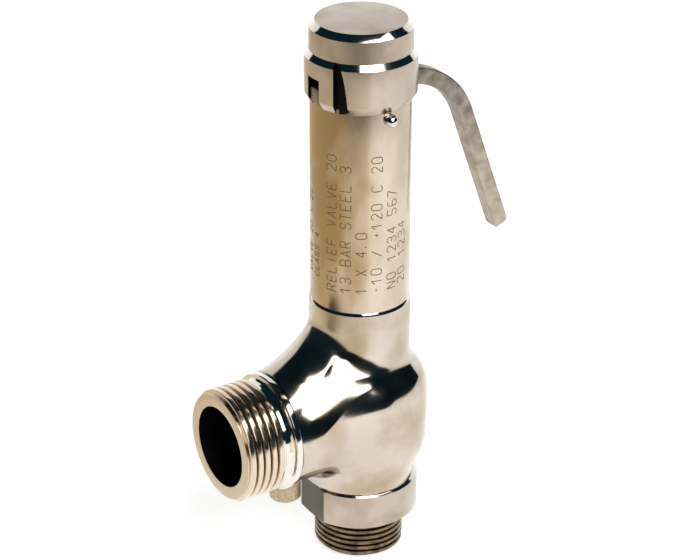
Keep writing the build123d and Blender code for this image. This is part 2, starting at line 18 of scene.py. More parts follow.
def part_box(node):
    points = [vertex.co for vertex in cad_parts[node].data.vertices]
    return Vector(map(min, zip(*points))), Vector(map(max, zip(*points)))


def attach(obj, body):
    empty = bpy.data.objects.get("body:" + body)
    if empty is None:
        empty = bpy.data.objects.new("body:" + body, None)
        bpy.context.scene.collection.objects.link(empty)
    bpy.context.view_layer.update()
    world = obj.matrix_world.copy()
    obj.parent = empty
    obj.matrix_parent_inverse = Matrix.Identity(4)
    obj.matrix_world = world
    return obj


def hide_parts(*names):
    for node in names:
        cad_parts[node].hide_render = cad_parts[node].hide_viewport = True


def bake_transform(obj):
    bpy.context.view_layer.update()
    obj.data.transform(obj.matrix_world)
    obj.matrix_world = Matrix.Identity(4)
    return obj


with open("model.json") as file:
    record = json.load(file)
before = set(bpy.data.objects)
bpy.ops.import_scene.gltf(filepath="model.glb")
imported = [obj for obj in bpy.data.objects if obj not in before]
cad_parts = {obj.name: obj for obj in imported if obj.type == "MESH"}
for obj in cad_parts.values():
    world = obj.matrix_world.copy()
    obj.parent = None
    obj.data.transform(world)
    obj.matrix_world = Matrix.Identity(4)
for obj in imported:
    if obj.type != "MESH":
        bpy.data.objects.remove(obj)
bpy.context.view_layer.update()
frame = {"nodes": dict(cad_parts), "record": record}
nodes = frame["nodes"]

# %% [markdown]
# ## Where things are
# Heights and reaches come from the boxes of the CAD nodes. They could be typed in, but read this way the
# looks stay on the CAD part if it changes.

# %% Anchors, in mm
def box_mm(node):
    """The two corners of a CAD node's box, in mm."""
    low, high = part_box(node)
    return np.array(low) * 1000, np.array(high) * 1000


_, nozzle_high = box_mm("inlet_nozzle")
body_low, body_high = box_mm("valve_body")
bonnet_low, bonnet_high = box_mm("bonnet")
cap_low, cap_high = box_mm("lever_cap")
lever_low, lever_high = box_mm("lift_lever")
pin_low, pin_high = box_mm("lock_pin")
spring_low, spring_high = box_mm("relief_spring")
gasket_low, _ = box_mm("nozzle_gasket")

COLLAR_TOP = gasket_low[2]
NECK_TOP = body_high[2]
CAP_FOOT = cap_low[2]
CAP_TOP = cap_high[2]
BONNET_R = bonnet_high[0]
CAP_COLLAR_R = cap_high[1]
OUTLET_FACE = body_low[0]
OUTLET_Z = [m for m in frame["record"]["mounts"] if m["name"] == "outlet_thread"][0]["pos_m"][2] * 1000
print("neck top", round(NECK_TOP, 2), "cap", round(CAP_FOOT, 2), round(CAP_TOP, 2))
print("outlet axis at height", round(OUTLET_Z, 2))

# %% [markdown]
# ## Material helpers
# Every finish is procedural: noise moves the shine, the fine relief and the colour of bare metal. Pictures
# could do the same, but noise has no seams and needs no unwrapping. It reads Object coordinates, which are
# the frame's own metres. Pattern sizes are real ones, and those too fine to show are drawn as coarse as
# they need to show.

# %% Material helpers
def linear(hexcode):
    """A #rrggbb screen colour as linear RGBA."""
    parts = [int(hexcode[i:i + 2], 16) / 255 for i in (1, 3, 5)]
    return tuple(v / 12.92 if v <= 0.04045 else ((v + 0.055) / 1.055) ** 2.4 for v in parts) + (1.0,)


def add(tree, kind, links=None, **settings):
    """A new node. Settings name its properties or input sockets, and links join an input to an output."""
    node = tree.nodes.new(kind)
    for key, value in settings.items():
        if hasattr(node, key):
            setattr(node, key, value)
        else:
            node.inputs[key.replace("_", " ")].default_value = value
    for socket, source in (links or {}).items():
        tree.links.new(source, node.inputs[socket])
    return node


def surface(name, colour, roughness=0.5, metallic=1.0):
    """A new finish, as (material, tree, shader, object coordinates)."""
    made = bpy.data.materials.new(name)
    made.use_nodes = True
    tree = made.node_tree
    shader = tree.nodes["Principled BSDF"]
    shader.inputs["Base Color"].default_value = linear(colour)
    shader.inputs["Metallic"].default_value = metallic
    shader.inputs["Roughness"].default_value = roughness
    coords = add(tree, "ShaderNodeTexCoord")
    return made, tree, shader, coords.outputs["Object"]


def grain(tree, coords, size_mm, detail, squash):
    """Noise with features about size_mm across, drawn out along any axis where squash is under 1."""
    place = add(tree, "ShaderNodeMapping", {"Vector": coords}, Scale=squash)
    speckle = add(tree, "ShaderNodeTexNoise", {"Vector": place.outputs["Vector"]}, Scale=1000 / size_mm,
                  Detail=detail)
    return speckle.outputs["Fac"]


def clouds(tree, coords, size_mm, detail, span, to, squash=(1, 1, 1)):
    """A value that drifts over the surface: noise over this span becomes a value from to[0] to to[1]."""
    value = add(tree, "ShaderNodeMapRange", {"Value": grain(tree, coords, size_mm, detail, squash)},
                From_Min=span[0], From_Max=span[1], To_Min=to[0], To_Max=to[1])
    return value.outputs["Result"]


def relief(tree, coords, shader, size_mm, detail, depth_mm, squash=(1, 1, 1), below=None):
    """Fine relief depth_mm deep, on top of an earlier relief if there is one below."""
    links = {"Height": grain(tree, coords, size_mm, detail, squash)}
    if below is not None:
        links["Normal"] = below
    bump = add(tree, "ShaderNodeBump", links, Strength=1.0, Distance=depth_mm / 1000)
    tree.links.new(bump.outputs["Normal"], shader.inputs["Normal"])
    return bump.outputs["Normal"]


def stained(tree, coords, shader, colour, size_mm, detail, span, most=1.0, squash=(1, 1, 1), also=None):
    """Soft patches of another colour over the shader's own. also is a further share, added to theirs."""
    share = clouds(tree, coords, size_mm, detail, span, (0, most), squash)
    if also is not None:
        share = add(tree, "ShaderNodeMath", {0: also, 1: share}, operation="ADD", use_clamp=True).outputs[0]
    mix = add(tree, "ShaderNodeMix", {0: share}, data_type="RGBA")
    mix.inputs[6].default_value = shader.inputs["Base Color"].default_value
    mix.inputs[7].default_value = linear(colour)
    tree.links.new(mix.outputs[2], shader.inputs["Base Color"])


ROUND_Z = (0.02, 0.02, 1)  # draws noise out round the valve axis, as tool rings are
UP_Z = (1, 1, 0.05)  # draws noise out along the valve axis
print("material helpers ready")

# %% [markdown]
# ### The skins: casting, bonnet and cap
# The casting is stainless steel polished by hand: nearly a mirror, with a slow waviness, fine scratches
# and a haze that comes and goes. Its neck was turned satin afterwards. The bonnet and cap are turned
# satin, with rings round the axis. The bonnet also carries brown heat stains. A plain roughness would make
# them look like plastic, so the shine and the colour drift over each surface.

# %% Casting, bonnet and cap finishes
NECK_SATIN_FROM, NECK_SATIN_TO = 0.070, 0.079  # heights in metres, where the polish gives way to turning
BROWN_FROM, BROWN_TO = -0.005, -0.0145  # places along X in metres, between which the heat stain sets in

polished, tree, shader, coords = surface("polished_cast_stainless", "#c2b7aa")
waves = relief(tree, coords, shader, 9, 1.0, 0.05)
relief(tree, coords, shader, 0.5, 2.0, 0.0009, (1, 1, 0.12), waves)
haze = clouds(tree, coords, 6, 4.0, (0.3, 0.75), (0.08, 0.17))
height = add(tree, "ShaderNodeSeparateXYZ", {"Vector": coords}).outputs["Z"]
neck_satin = add(tree, "ShaderNodeMapRange", {"Value": height}, From_Min=NECK_SATIN_FROM,
                 From_Max=NECK_SATIN_TO, To_Min=0, To_Max=0.17)
rough = add(tree, "ShaderNodeMath", {0: haze, 1: neck_satin.outputs["Result"]}, operation="ADD")
tree.links.new(rough.outputs[0], shader.inputs["Roughness"])
stained(tree, coords, shader, "#a6967e", 14, 5.0, (0.42, 0.7))

satin, tree, shader, coords = surface("satin_turned_stainless", "#c8bba9")
relief(tree, coords, shader, 0.25, 2.0, 0.002, ROUND_Z)
rough = clouds(tree, coords, 5, 4.0, (0.3, 0.7), (0.19, 0.27))
tree.links.new(rough, shader.inputs["Roughness"])
along_x = add(tree, "ShaderNodeSeparateXYZ", {"Vector": coords}).outputs["X"]
browned = add(tree, "ShaderNodeMapRange", {"Value": along_x}, From_Min=BROWN_FROM, From_Max=BROWN_TO,
              To_Min=0, To_Max=0.85)
stained(tree, coords, shader, "#a08764", 11, 5.0, (0.42, 0.7), 0.6, (1, 1, 0.6), browned.outputs["Result"])

# cap and collar: the same turning, a little greyer, without the heat stain
plain_satin, tree, shader, coords = surface("satin_cap_stainless", "#b6aa9c", 0.25)
relief(tree, coords, shader, 0.25, 2.0, 0.002, ROUND_Z)
stained(tree, coords, shader, "#a29280", 9, 4.0, (0.4, 0.7))
print("skins:", polished.name, satin.name, plain_satin.name)

# %% [markdown]
# ### Cut faces: flats, bevels, threads and bores
# Each tool leaves its own face. A milled flat is grey with faint lines, a fresh bevel mirrors the room,
# and a cut thread is bright with fine chatter. The inlet thread is coloured dark, as painted shade, and
# the bores and cut recesses are near black, also painted shade. They could share one steel, but the valve
# reads as machined because neighbouring faces differ.

# %% Cut faces
milled, tree, shader, coords = surface("milled_flat_steel", "#5c564a", 0.33)
relief(tree, coords, shader, 0.3, 2.0, 0.004, UP_Z)

bright, tree, shader, coords = surface("bright_turned_steel", "#dcd6cd", 0.09)
relief(tree, coords, shader, 0.2, 1.0, 0.0006, ROUND_Z)

threaded, tree, shader, coords = surface("turned_thread_steel", "#cfc0ac")
relief(tree, coords, shader, 0.6, 3.0, 0.004)
rough = clouds(tree, coords, 2, 3.0, (0.3, 0.7), (0.12, 0.24))
tree.links.new(rough, shader.inputs["Roughness"])

# inlet thread: a dark colour with darker patches, which is painted shade
shade_dark_thread, tree, shader, coords = surface("thread_painted_shade_steel", "#7d6c55", 0.22)
relief(tree, coords, shader, 0.6, 3.0, 0.004)
stained(tree, coords, shader, "#4d4234", 3, 4.0, (0.4, 0.65))

# faced end: the flat matte ring that a facing tool leaves
faced, tree, shader, coords = surface("faced_steel", "#c3b39b", 0.42)
relief(tree, coords, shader, 0.3, 3.0, 0.006)

# bores, window and notch walls: dull, and near black as painted shade
bore_shade_finish, tree, shader, coords = surface("bore_painted_shade_steel", "#1d1a17", 0.55)
relief(tree, coords, shader, 0.8, 3.0, 0.02)
print("cut faces:", milled.name, bright.name, threaded.name, shade_dark_thread.name, faced.name, bore_shade_finish.name)

# %% [markdown]
# ### Lever, drain boss and ball pin
# The lever was tumbled with stones, which leaves it grey, matte and mottled, more so near the cap where
# hands don't rub it. The boss is as blasted, with a real grain of about 0.3 mm. The pin's ball is a small
# mirror. Noise at these sizes is enough. Modelled grain would cost a great many faces and look the same.

# %% Lever, boss and ball finishes
WORN_FROM, WORN_TO = 0.105, 0.148  # heights in metres, from a hand-rubbed handle to the untouched bend

tumbled, tree, shader, coords = surface("tumbled_stainless", "#b7ab9b")
relief(tree, coords, shader, 0.22, 3.0, 0.008)
rough = clouds(tree, coords, 3.5, 4.0, (0.3, 0.7), (0.36, 0.52))
tree.links.new(rough, shader.inputs["Roughness"])
height = add(tree, "ShaderNodeSeparateXYZ", {"Vector": coords}).outputs["Z"]
grime = add(tree, "ShaderNodeMapRange", {"Value": height}, From_Min=WORN_FROM, From_Max=WORN_TO,
            To_Min=-0.25, To_Max=0.45)
stained(tree, coords, shader, "#756b61", 4, 5.0, (0.35, 0.68), 0.7, also=grime.outputs["Result"])

blasted, tree, shader, coords = surface("sand_blasted_cast_steel", "#c4b498", 0.5)
relief(tree, coords, shader, 0.3, 2.0, 0.03)
stained(tree, coords, shader, "#9c8a6e", 0.5, 3.0, (0.4, 0.7))

ball, tree, shader, coords = surface("polished_ball_stainless", "#cfcac4", 0.07)
relief(tree, coords, shader, 0.6, 2.0, 0.002)
print("small pieces:", tumbled.name, blasted.name, ball.name)

# %% [markdown]
# ### Inner pieces and the laser marks
# The spring is drawn wire with fine lines. The bush is turned bronze with darker tarnish. Gaskets and the
# disc's seal are PTFE, white and waxy. A laser mark is brown oxide, not bare metal, so it doesn't reflect
# like one. These are simple finishes because the pieces are small or hidden.

# %% Inner finishes and marks
spring_wire, tree, shader, coords = surface("drawn_spring_wire", "#98938d", 0.32)
relief(tree, coords, shader, 0.5, 2.0, 0.004)
stained(tree, coords, shader, "#7d7874", 3, 3.0, (0.4, 0.7))

bronze, tree, shader, coords = surface("bearing_bronze", "#b5824a", 0.3)
relief(tree, coords, shader, 0.3, 2.0, 0.004)
stained(tree, coords, shader, "#7f5a31", 3, 4.0, (0.4, 0.7))

burnt, tree, shader, coords = surface("laser_marked_steel", "#5d4029", 0.5, metallic=0.0)
stained(tree, coords, shader, "#8a6a4a", 0.8, 2.0, (0.35, 0.7))

ptfe, tree, shader, coords = surface("white_ptfe", "#eceae4", 0.42, metallic=0.0)
relief(tree, coords, shader, 0.8, 2.0, 0.01)
stained(tree, coords, shader, "#dcd8cf", 4, 3.0, (0.4, 0.7))
print("materials:", len(bpy.data.materials))

# %% [markdown]
# ## Turned pieces
# Most of the valve was made on a lathe, so a helper turns a profile of (radius, height) corners about an
# axis. A Screw modifier could spin it too, but the mesh is written directly here, so that each band takes
# its own finish. Corners get a small round, as a tool leaves them, and so the edges catch the light.

# %% Corner rounding
POLE = 1e-6  # a radius or edge length, in mm, that counts as nothing
NEARLY_STRAIGHT = math.radians(165)  # corners more open than this stay as they are
MOST_CUT = 0.45  # share of an edge that one rounded corner may take
ROUND_STEPS = 3


def softened(profile, radius):
    """A closed profile with its corners rounded. A corner is (r, h) or (r, h, finish of the next band)."""
    corners = [tuple(c) + (0,) * (3 - len(c)) for c in profile]
    out = []
    for i, (r, h, finish) in enumerate(corners):
        before, after = corners[i - 1], corners[(i + 1) % len(corners)]
        a = Vector((before[0] - r, before[1] - h))
        b = Vector((after[0] - r, after[1] - h))
        if a.length < POLE or b.length < POLE or a.angle(b) > NEARLY_STRAIGHT or r < POLE:
            out.append((r, h, finish))
            continue
        turn = math.pi - a.angle(b)
        cut_back = min(radius * math.tan(turn / 2), MOST_CUT * a.length, MOST_CUT * b.length)
        corner = Vector((r, h))
        start, end = corner + a.normalized() * cut_back, corner + b.normalized() * cut_back
        for step in range(ROUND_STEPS + 1):
            t = step / ROUND_STEPS
            point = start * (1 - t) ** 2 + corner * 2 * t * (1 - t) + end * t ** 2
            out.append((point[0], point[1], before[2] if step == 0 else finish))
    return out


print("a square corner becomes", len(softened([(1, 0), (2, 0), (2, 1), (1, 1)], 0.1)) // 4, "points")

# %% [markdown]
# ### Mesh, lathe and cutting
# A mesh is merged, its faces are turned outwards and its sharp edges are marked by angle. Windows, flats
# and bores could be modelled face by face. Boolean cutters are shorter to write, and each leaves its own
# finish on the cut, as a milling tool does.

# %% Meshes
MERGE = 1e-7  # points closer than this, in metres, are one


def in_scene(name, data):
    """An object at the origin for a mesh, a curve, a light or a camera."""
    made = bpy.data.objects.new(name, data)
    bpy.context.scene.collection.objects.link(made)
    return made


def cleaned(mesh, sharp):
    """Merges a mesh, turns its faces outwards and marks edges sharper than this angle, in degrees."""
    work = bmesh.new()
    work.from_mesh(mesh)
    bmesh.ops.remove_doubles(work, verts=work.verts, dist=MERGE)
    bmesh.ops.recalc_face_normals(work, faces=work.faces)
    work.to_mesh(mesh)
    work.free()
    mesh.set_sharp_from_angle(angle=math.radians(sharp))


def mesh_object(name, points_mm, faces, materials, finishes=None):
    """A smooth object at the origin from points in mm."""
    mesh = bpy.data.meshes.new(name)
    mesh.from_pydata((np.asarray(points_mm) / 1000).tolist(), [], faces)
    for material in materials:
        mesh.materials.append(material)
    if finishes is not None:
        mesh.polygons.foreach_set("material_index", finishes)
    mesh.polygons.foreach_set("use_smooth", [True] * len(mesh.polygons))
    cleaned(mesh, 35)
    return in_scene(name, mesh)


print("points merge within", MERGE * 1000, "mm")

# %% Lathe
def lathe(name, profile, materials, axis="Z", round_mm=0.12, segments=256):
    """A closed turned solid. Along Z it stands on the valve axis, along X on the outlet axis."""
    profile = softened(profile, round_mm)
    angles = np.linspace(0, 2 * math.pi, segments, endpoint=False)
    points, faces, finishes, rings = [], [], [], []
    for r, h, _ in profile:
        at_pole = r < POLE
        rings.append((len(points), at_pole))
        for a in [0.0] if at_pole else angles:
            u, v = r * math.cos(a), r * math.sin(a)
            points.append((u, v, h) if axis == "Z" else (h, u, OUTLET_Z + v))
    for i, (_, _, finish) in enumerate(profile):
        (start, start_pole), (after, after_pole) = rings[i], rings[(i + 1) % len(rings)]
        if start_pole and after_pole:
            continue
        for s in range(segments):
            t = (s + 1) % segments
            if start_pole:
                face = (start, after + s, after + t)
            elif after_pole:
                face = (start + s, after, start + t)
            else:
                face = (start + s, after + s, after + t, start + t)
            faces.append(face)
            finishes.append(finish)
    return mesh_object(name, points, faces, materials, finishes)


print("lathe ready")

# %% Cutting
def evaluated_mesh(piece):
    """A plain mesh of the object with its modifiers done."""
    bpy.context.view_layer.update()
    return bpy.data.meshes.new_from_object(piece.evaluated_get(bpy.context.evaluated_depsgraph_get()))


def cut(piece, cutters):
    """Takes the cutters away from the piece for good."""
    for cutter in cutters:
        step = piece.modifiers.new("cut", "BOOLEAN")
        step.operation = "DIFFERENCE"
        step.solver = "EXACT"
        step.material_mode = "TRANSFER"
        step.object = cutter
    done = evaluated_mesh(piece)
    piece.modifiers.clear()
    piece.data = done
    for cutter in cutters:
        bpy.data.objects.remove(cutter)


def block(name, outline, depth_from, depth_to, place, material):
    """A closed prism: an outline in mm in the place's X and Z, from one depth along its Y to another."""
    count = len(outline)
    points = [place @ Vector((x, y, z)) for y in (depth_from, depth_to) for x, z in outline]
    faces = [tuple(range(count)), tuple(range(2 * count - 1, count - 1, -1))]
    faces += [(i, (i + 1) % count, count + (i + 1) % count, count + i) for i in range(count)]
    return mesh_object(name, points, faces, [material])


print("cutters and blocks ready")

# %% [markdown]
# ## Geometry Nodes: threads and spring
# A thread is a ridge that follows a spiral, and a spring is a wire that does. A Screw modifier could sweep
# either, but its ends would be blunt. A tree of nodes also tapers them, from a few named sizes. What it
# grows is kept as a plain mesh.

# %% Opening, closing and growing a tree
def new_tree(name, sizes, path=None):
    """An empty tree and its inputs: a path if it has one, these sizes in metres, and a finish."""
    tree = bpy.data.node_groups.new(name, "GeometryNodeTree")
    tree.interface.new_socket("Geometry", in_out="OUTPUT", socket_type="NodeSocketGeometry")
    if path:
        tree.interface.new_socket(path, in_out="INPUT", socket_type="NodeSocketGeometry")
    for label in sizes:
        tree.interface.new_socket(label, in_out="INPUT", socket_type="NodeSocketFloat")
    tree.interface.new_socket("Finish", in_out="INPUT", socket_type="NodeSocketMaterial")
    return tree, add(tree, "NodeGroupInput").outputs


def close_tree(tree, geometry, finish):
    """Ends a tree: what it grew is made real and takes the finish."""
    real = add(tree, "GeometryNodeRealizeInstances", {"Geometry": geometry})
    painted = add(tree, "GeometryNodeSetMaterial", {"Geometry": real.outputs[0], "Material": finish})
    add(tree, "NodeGroupOutput", {"Geometry": painted.outputs[0]})
    return tree


def grown(name, tree, finish, path=None, **sizes):
    """A plain mesh object grown by a tree. Lengths are given in metres."""
    maker = in_scene(name + "_maker", path or bpy.data.meshes.new(name))
    step = maker.modifiers.new("grow", "NODES")
    step.node_group = tree
    sockets = {s.name: s.identifier for s in tree.interface.items_tree if s.in_out == "INPUT"}
    for label, value in sizes.items():
        step[sockets[label.replace("_", " ")]] = value
    step[sockets["Finish"]] = finish
    mesh = evaluated_mesh(maker)
    bpy.data.objects.remove(maker)
    cleaned(mesh, 40)
    return in_scene(name, mesh)


print("trees can be grown")

# %% [markdown]
# ### Profiles along a spiral
# A thread's ridge is a trapezoid with eased corners that stands on the root cylinder, and a wire is round.
# Either could be drawn by hand as a curve, but as nodes it follows the named sizes. The first and last
# stretch of the spiral can shrink to nothing, as a real thread runs out.

# %% Ridge and wire profiles
CREST_EASE = 0.17  # round on a ridge's corners, as a share of its crest's width


def ridge_profile(tree, start):
    """A trapezoid with eased corners, whose foot is on the spiral and whose crest points outwards."""
    shape = add(tree, "GeometryNodeCurvePrimitiveQuadrilateral", {
        "Height": start["Depth"], "Bottom Width": start["Foot width"], "Top Width": start["Crest width"]},
        mode="TRAPEZOID", Offset=0.0)
    small = add(tree, "ShaderNodeMath", {0: start["Crest width"]}, operation="MULTIPLY")
    small.inputs[1].default_value = CREST_EASE
    eased = add(tree, "GeometryNodeFilletCurve", {"Curve": shape.outputs[0], "Radius": small.outputs[0]},
                mode="POLY", Count=4, Limit_Radius=True)
    half_depth = add(tree, "ShaderNodeMath", {0: start["Depth"]}, operation="MULTIPLY")
    half_depth.inputs[1].default_value = 0.5
    shift = add(tree, "ShaderNodeCombineXYZ", {"Y": half_depth.outputs[0]})
    lifted = add(tree, "GeometryNodeTransform", {
        "Geometry": eased.outputs[0], "Translation": shift.outputs[0]})
    turned = add(tree, "GeometryNodeTransform", {"Geometry": lifted.outputs[0]},
                 Rotation=(0, 0, math.radians(90)))
    return turned.outputs[0]


def wire_profile(tree, start):
    """A round wire, whose radius is the depth."""
    circle = add(tree, "GeometryNodeCurvePrimitiveCircle", {"Radius": start["Depth"]}, Resolution=24)
    return circle.outputs[0]


print("profiles: a ridge and a wire")

# %% Spiral
SPIRAL_STEPS = 128  # points on one turn of a spiral


def spiral_tree(name, profile_of, sizes):
    """Geometry Nodes tree: a profile swept along a spiral that tapers at both ends."""
    tree, start = new_tree(name, ("Turns", "Pitch", "Radius", "Depth", *sizes, "Taper turns"))
    rise = add(tree, "ShaderNodeMath", {0: start["Turns"], 1: start["Pitch"]}, operation="MULTIPLY")
    spiral = add(tree, "GeometryNodeCurveSpiral", {
        "Rotations": start["Turns"], "Start Radius": start["Radius"], "End Radius": start["Radius"],
        "Height": rise.outputs[0]}, Resolution=SPIRAL_STEPS)
    upright = add(tree, "GeometryNodeSetCurveNormal", {"Curve": spiral.outputs[0]}, mode="Z_UP")
    # the share is 0 at an end and 1 from the taper's length onwards
    along = add(tree, "GeometryNodeSplineParameter").outputs["Factor"]
    turns_in = add(tree, "ShaderNodeMath", {0: along, 1: start["Turns"]}, operation="MULTIPLY")
    turns_left = add(tree, "ShaderNodeMath", {0: start["Turns"], 1: turns_in.outputs[0]},
                     operation="SUBTRACT")
    nearest = add(tree, "ShaderNodeMath", {0: turns_in.outputs[0], 1: turns_left.outputs[0]},
                  operation="MINIMUM")
    share = add(tree, "ShaderNodeMath", {0: nearest.outputs[0], 1: start["Taper turns"]}, operation="DIVIDE",
                use_clamp=True)
    sweep = add(tree, "GeometryNodeCurveToMesh", {
        "Curve": upright.outputs[0], "Profile Curve": profile_of(tree, start), "Scale": share.outputs[0]},
        Fill_Caps=True)
    smooth = add(tree, "GeometryNodeSetShadeSmooth", {"Geometry": sweep.outputs[0]})
    return close_tree(tree, smooth.outputs[0], start["Finish"])


ridge_tree = spiral_tree("thread_ridge", ridge_profile, ("Foot width", "Crest width"))
wire_tree = spiral_tree("spring_wire_sweep", wire_profile, ())
print("spiral trees:", ridge_tree.name, wire_tree.name)

# %% Placing and sharpening
def placed(piece, matrix):
    """Moves a mesh for good, so that its object stays at the origin."""
    piece.data.transform(matrix)
    piece.data.update()


def raised(z_mm):
    """A move up the valve axis."""
    return Matrix.Translation((0, 0, z_mm / 1000))


def resharpened(piece, degrees):
    """Marks sharp edges anew after a cut, whose own edges have no marks yet."""
    piece.data.set_sharp_from_angle(angle=math.radians(degrees))


print("pieces can be placed")

# %% [markdown]
# ## Inlet nozzle
# The nozzle screws into the casting from below. It has a G3/4 thread, a collar with two spanner flats and,
# out of sight, the seat for the disc. It is one lathe profile. The flats are cut afterwards, as on the
# real one, and the thread is a true spiral ridge on the root cylinder, because rings would show where they
# fail to climb.

# %% Inlet nozzle
INLET_PITCH, INLET_DEPTH, INLET_THREAD_R, INLET_BORE_R = 1.814, 1.162, 13.22, 9.6
COLLAR_R, COLLAR_FOOT, FLAT_X = nozzle_high[1], 12.8, nozzle_high[0]
SPIGOT_R, SPIGOT_TOP = 13.4, 34
SEAT_FOOT_R, SEAT_R, SEAT_TOP, ORIFICE_R, ORIFICE_FOOT = 11, 8.4, 42, 6.75, 22
FLAT_REACH = 25  # half size of the cutters, well past the collar
root_r = INLET_THREAD_R - INLET_DEPTH
# finishes: 0 satin, 1 bright, 2 dark thread (painted shade), 3 bore (near black, painted shade)
nozzle = lathe("nozzle_body", [
    (INLET_BORE_R, 0, 3), (root_r - 0.3, 0, 2), (root_r, 0.3, 2), (root_r, COLLAR_FOOT, 0),
    (COLLAR_R - 1.6, COLLAR_FOOT, 1), (COLLAR_R, COLLAR_FOOT + 0.5, 0), (COLLAR_R, COLLAR_TOP - 0.7, 1),
    (COLLAR_R - 1.2, COLLAR_TOP, 1), (SPIGOT_R, COLLAR_TOP, 1), (SPIGOT_R, SPIGOT_TOP, 1),
    (SEAT_FOOT_R, SPIGOT_TOP, 1), (SEAT_FOOT_R, SPIGOT_TOP + 2.6, 1), (SEAT_R, SEAT_TOP - 2.4, 1),
    (SEAT_R, SEAT_TOP, 1), (ORIFICE_R, SEAT_TOP, 3), (ORIFICE_R, ORIFICE_FOOT, 3), (INLET_BORE_R, 8, 3),
], [plain_satin, bright, shade_dark_thread, bore_shade_finish])
flats = [block("flat", [(FLAT_X * side, COLLAR_FOOT - 1), (FLAT_REACH * side, COLLAR_FOOT - 1),
                        (FLAT_REACH * side, COLLAR_TOP + 1), (FLAT_X * side, COLLAR_TOP + 1)],
               -FLAT_REACH, FLAT_REACH, Matrix.Identity(4), milled) for side in (-1, 1)]
cut(nozzle, flats)
resharpened(nozzle, 30)
print("nozzle", len(nozzle.data.polygons))

# %% Inlet thread
SINK = 0.05  # how far a ridge's foot is sunk into its root cylinder
# the inlet thread takes the dark finish, which is painted shade
inlet_ridge = grown("nozzle_thread", ridge_tree, shade_dark_thread, Turns=5.9, Pitch=INLET_PITCH / 1000,
                    Radius=(root_r - SINK) / 1000, Depth=(INLET_DEPTH + SINK) / 1000,
                    Foot_width=0.96 * INLET_PITCH / 1000, Crest_width=0.56 * INLET_PITCH / 1000,
                    Taper_turns=0.12)
placed(inlet_ridge, raised(1.0))
for piece in (nozzle, inlet_ridge):
    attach(piece, "housing")
    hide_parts("inlet_nozzle")
print("ridge", len(inlet_ridge.data.polygons))

# %% [markdown]
# ## Cast body, as a shape
# The casting is one smooth skin: a bulb and neck, the outlet branch, and a slanted web between them, all
# melted together as a foundry pattern is. Booleans with fillets would leave creases, and a polished face
# shows every one. So each shape is a formula that is below 0 inside, and a soft minimum joins them.

# %% Curves of the casting
BRANCH_R, BRANCH_END = 16.1, -30.2
NECK_TRIM = NECK_TOP - 0.85
NECK_R = 14.7


def spline(corners, per_span=60):
    """Points on the smooth curve that these corners pull."""
    pull = np.array(corners, float)
    t = np.linspace(0, 1, per_span, endpoint=False)[:, None]
    spans = []
    for i in range(len(pull) - 3):
        a, b, c, d = pull[i:i + 4]
        spans.append(((1 - t) ** 3 * a + (3 * t ** 3 - 6 * t ** 2 + 4) * b
                      + (-3 * t ** 3 + 3 * t ** 2 + 3 * t + 1) * c + t ** 3 * d) / 6)
    return np.vstack(spans)


# (height, radius) of the bulb and neck
bulb_curve = spline([
    (14, 16.4), (19, 16.4), (24, 16.4), (27, 16.5), (29.6, 16.9), (32, 18.7), (35, 19.8), (39, 20.1),
    (44, 20.1), (49, 20.15), (53.5, 20.1), (57, 19.3), (60, 17.6), (62.4, 15.5), (65.6, NECK_R),
    (69, NECK_R), (74, NECK_R), (80, NECK_R), (86, NECK_R), (92, NECK_R), (98, NECK_R)])
# (place along X, height of the top edge, half width) of the web
web_curve = spline([
    (-48, 59.2, 12), (-40, 59.8, 12), (-34, 60.9, 12), (-28.5, 63.5, 12), (-23, 67.7, 11.9),
    (-18.6, 71.5, 11.8), (-15.4, 74.6, 11.6), (-12.4, 76.2, 11.4), (-9, 77.7, 11.2), (-4, 79, 11),
    (4, 80, 11), (12, 80, 11)])
# (place along X, half width, reach above the outlet axis) of the branch
branch_curve = spline([
    (-54, 16.1, 16.1), (-44, 16.1, 16.1), (-34, 16.1, 16.15), (-27, 16.3, 16.7), (-20, 16.9, 17.7),
    (-13, 18.2, 19.6), (-6, 19.2, 20.6), (0, 19.7, 19.6), (8, 19.8, 18), (16, 19.8, 18)])
# (height, radius) of the bulb's underside on the outlet's side
skirt_curve = spline([
    (10, 16.4), (17, 16.4), (24.4, 16.5), (28.5, 17.9), (33, 19.2), (38, 19.95), (44, 20.1), (50, 20.1)])
print("curve points:", [len(c) for c in (bulb_curve, web_curve, branch_curve, skirt_curve)])

# %% The melted shape
SKIRT_TOP = 46  # the underside is fuller only below this height
WEB_HALF_HEIGHT, WEB_DROP = 16.5, 12  # from the web's middle up to its edge, and down past the outlet axis
WEB_FLARE, FLARE_FROM, FLARE_DEPTH = 0.3, 6, 11  # widening per mm, its start below the top edge, its depth
BRANCH_STOP, WEB_STOP, STOP_ROUND = 4, 6, 0.8  # where each ends inside the bulb, short of the axis


def melted(shapes, size):
    """One shape from several, with every meeting rounded to about this size. A size under 0 intersects."""
    return -size * np.log(sum(np.exp(-s / size) for s in shapes))


def bulb_shape(x, z, out):
    """The turned bulb and neck, a little fuller underneath on the outlet's side."""
    bulb_r = np.interp(z, bulb_curve[:, 0], bulb_curve[:, 1])
    skirt_r = np.maximum(np.interp(z, skirt_curve[:, 0], skirt_curve[:, 1]), bulb_r)
    # side is 1 all round the outlet's half and fades to 0 on the lever's side
    side = np.clip((0.8 - x / np.maximum(out, 1)) / 0.7, 0, 1)
    side = side * side * (3 - 2 * side) * (z < SKIRT_TOP)
    return out - bulb_r - side * (skirt_r - bulb_r)


def branch_shape(x, y, z):
    """The outlet branch, round at its end and taller where it meets the bulb."""
    wide = np.interp(x, branch_curve[:, 0], branch_curve[:, 1])
    high = np.interp(x, branch_curve[:, 0], branch_curve[:, 2])
    high = np.where(z > OUTLET_Z, high, BRANCH_R)
    return (np.sqrt((y / wide) ** 2 + ((z - OUTLET_Z) / high) ** 2) - 1) * BRANCH_R


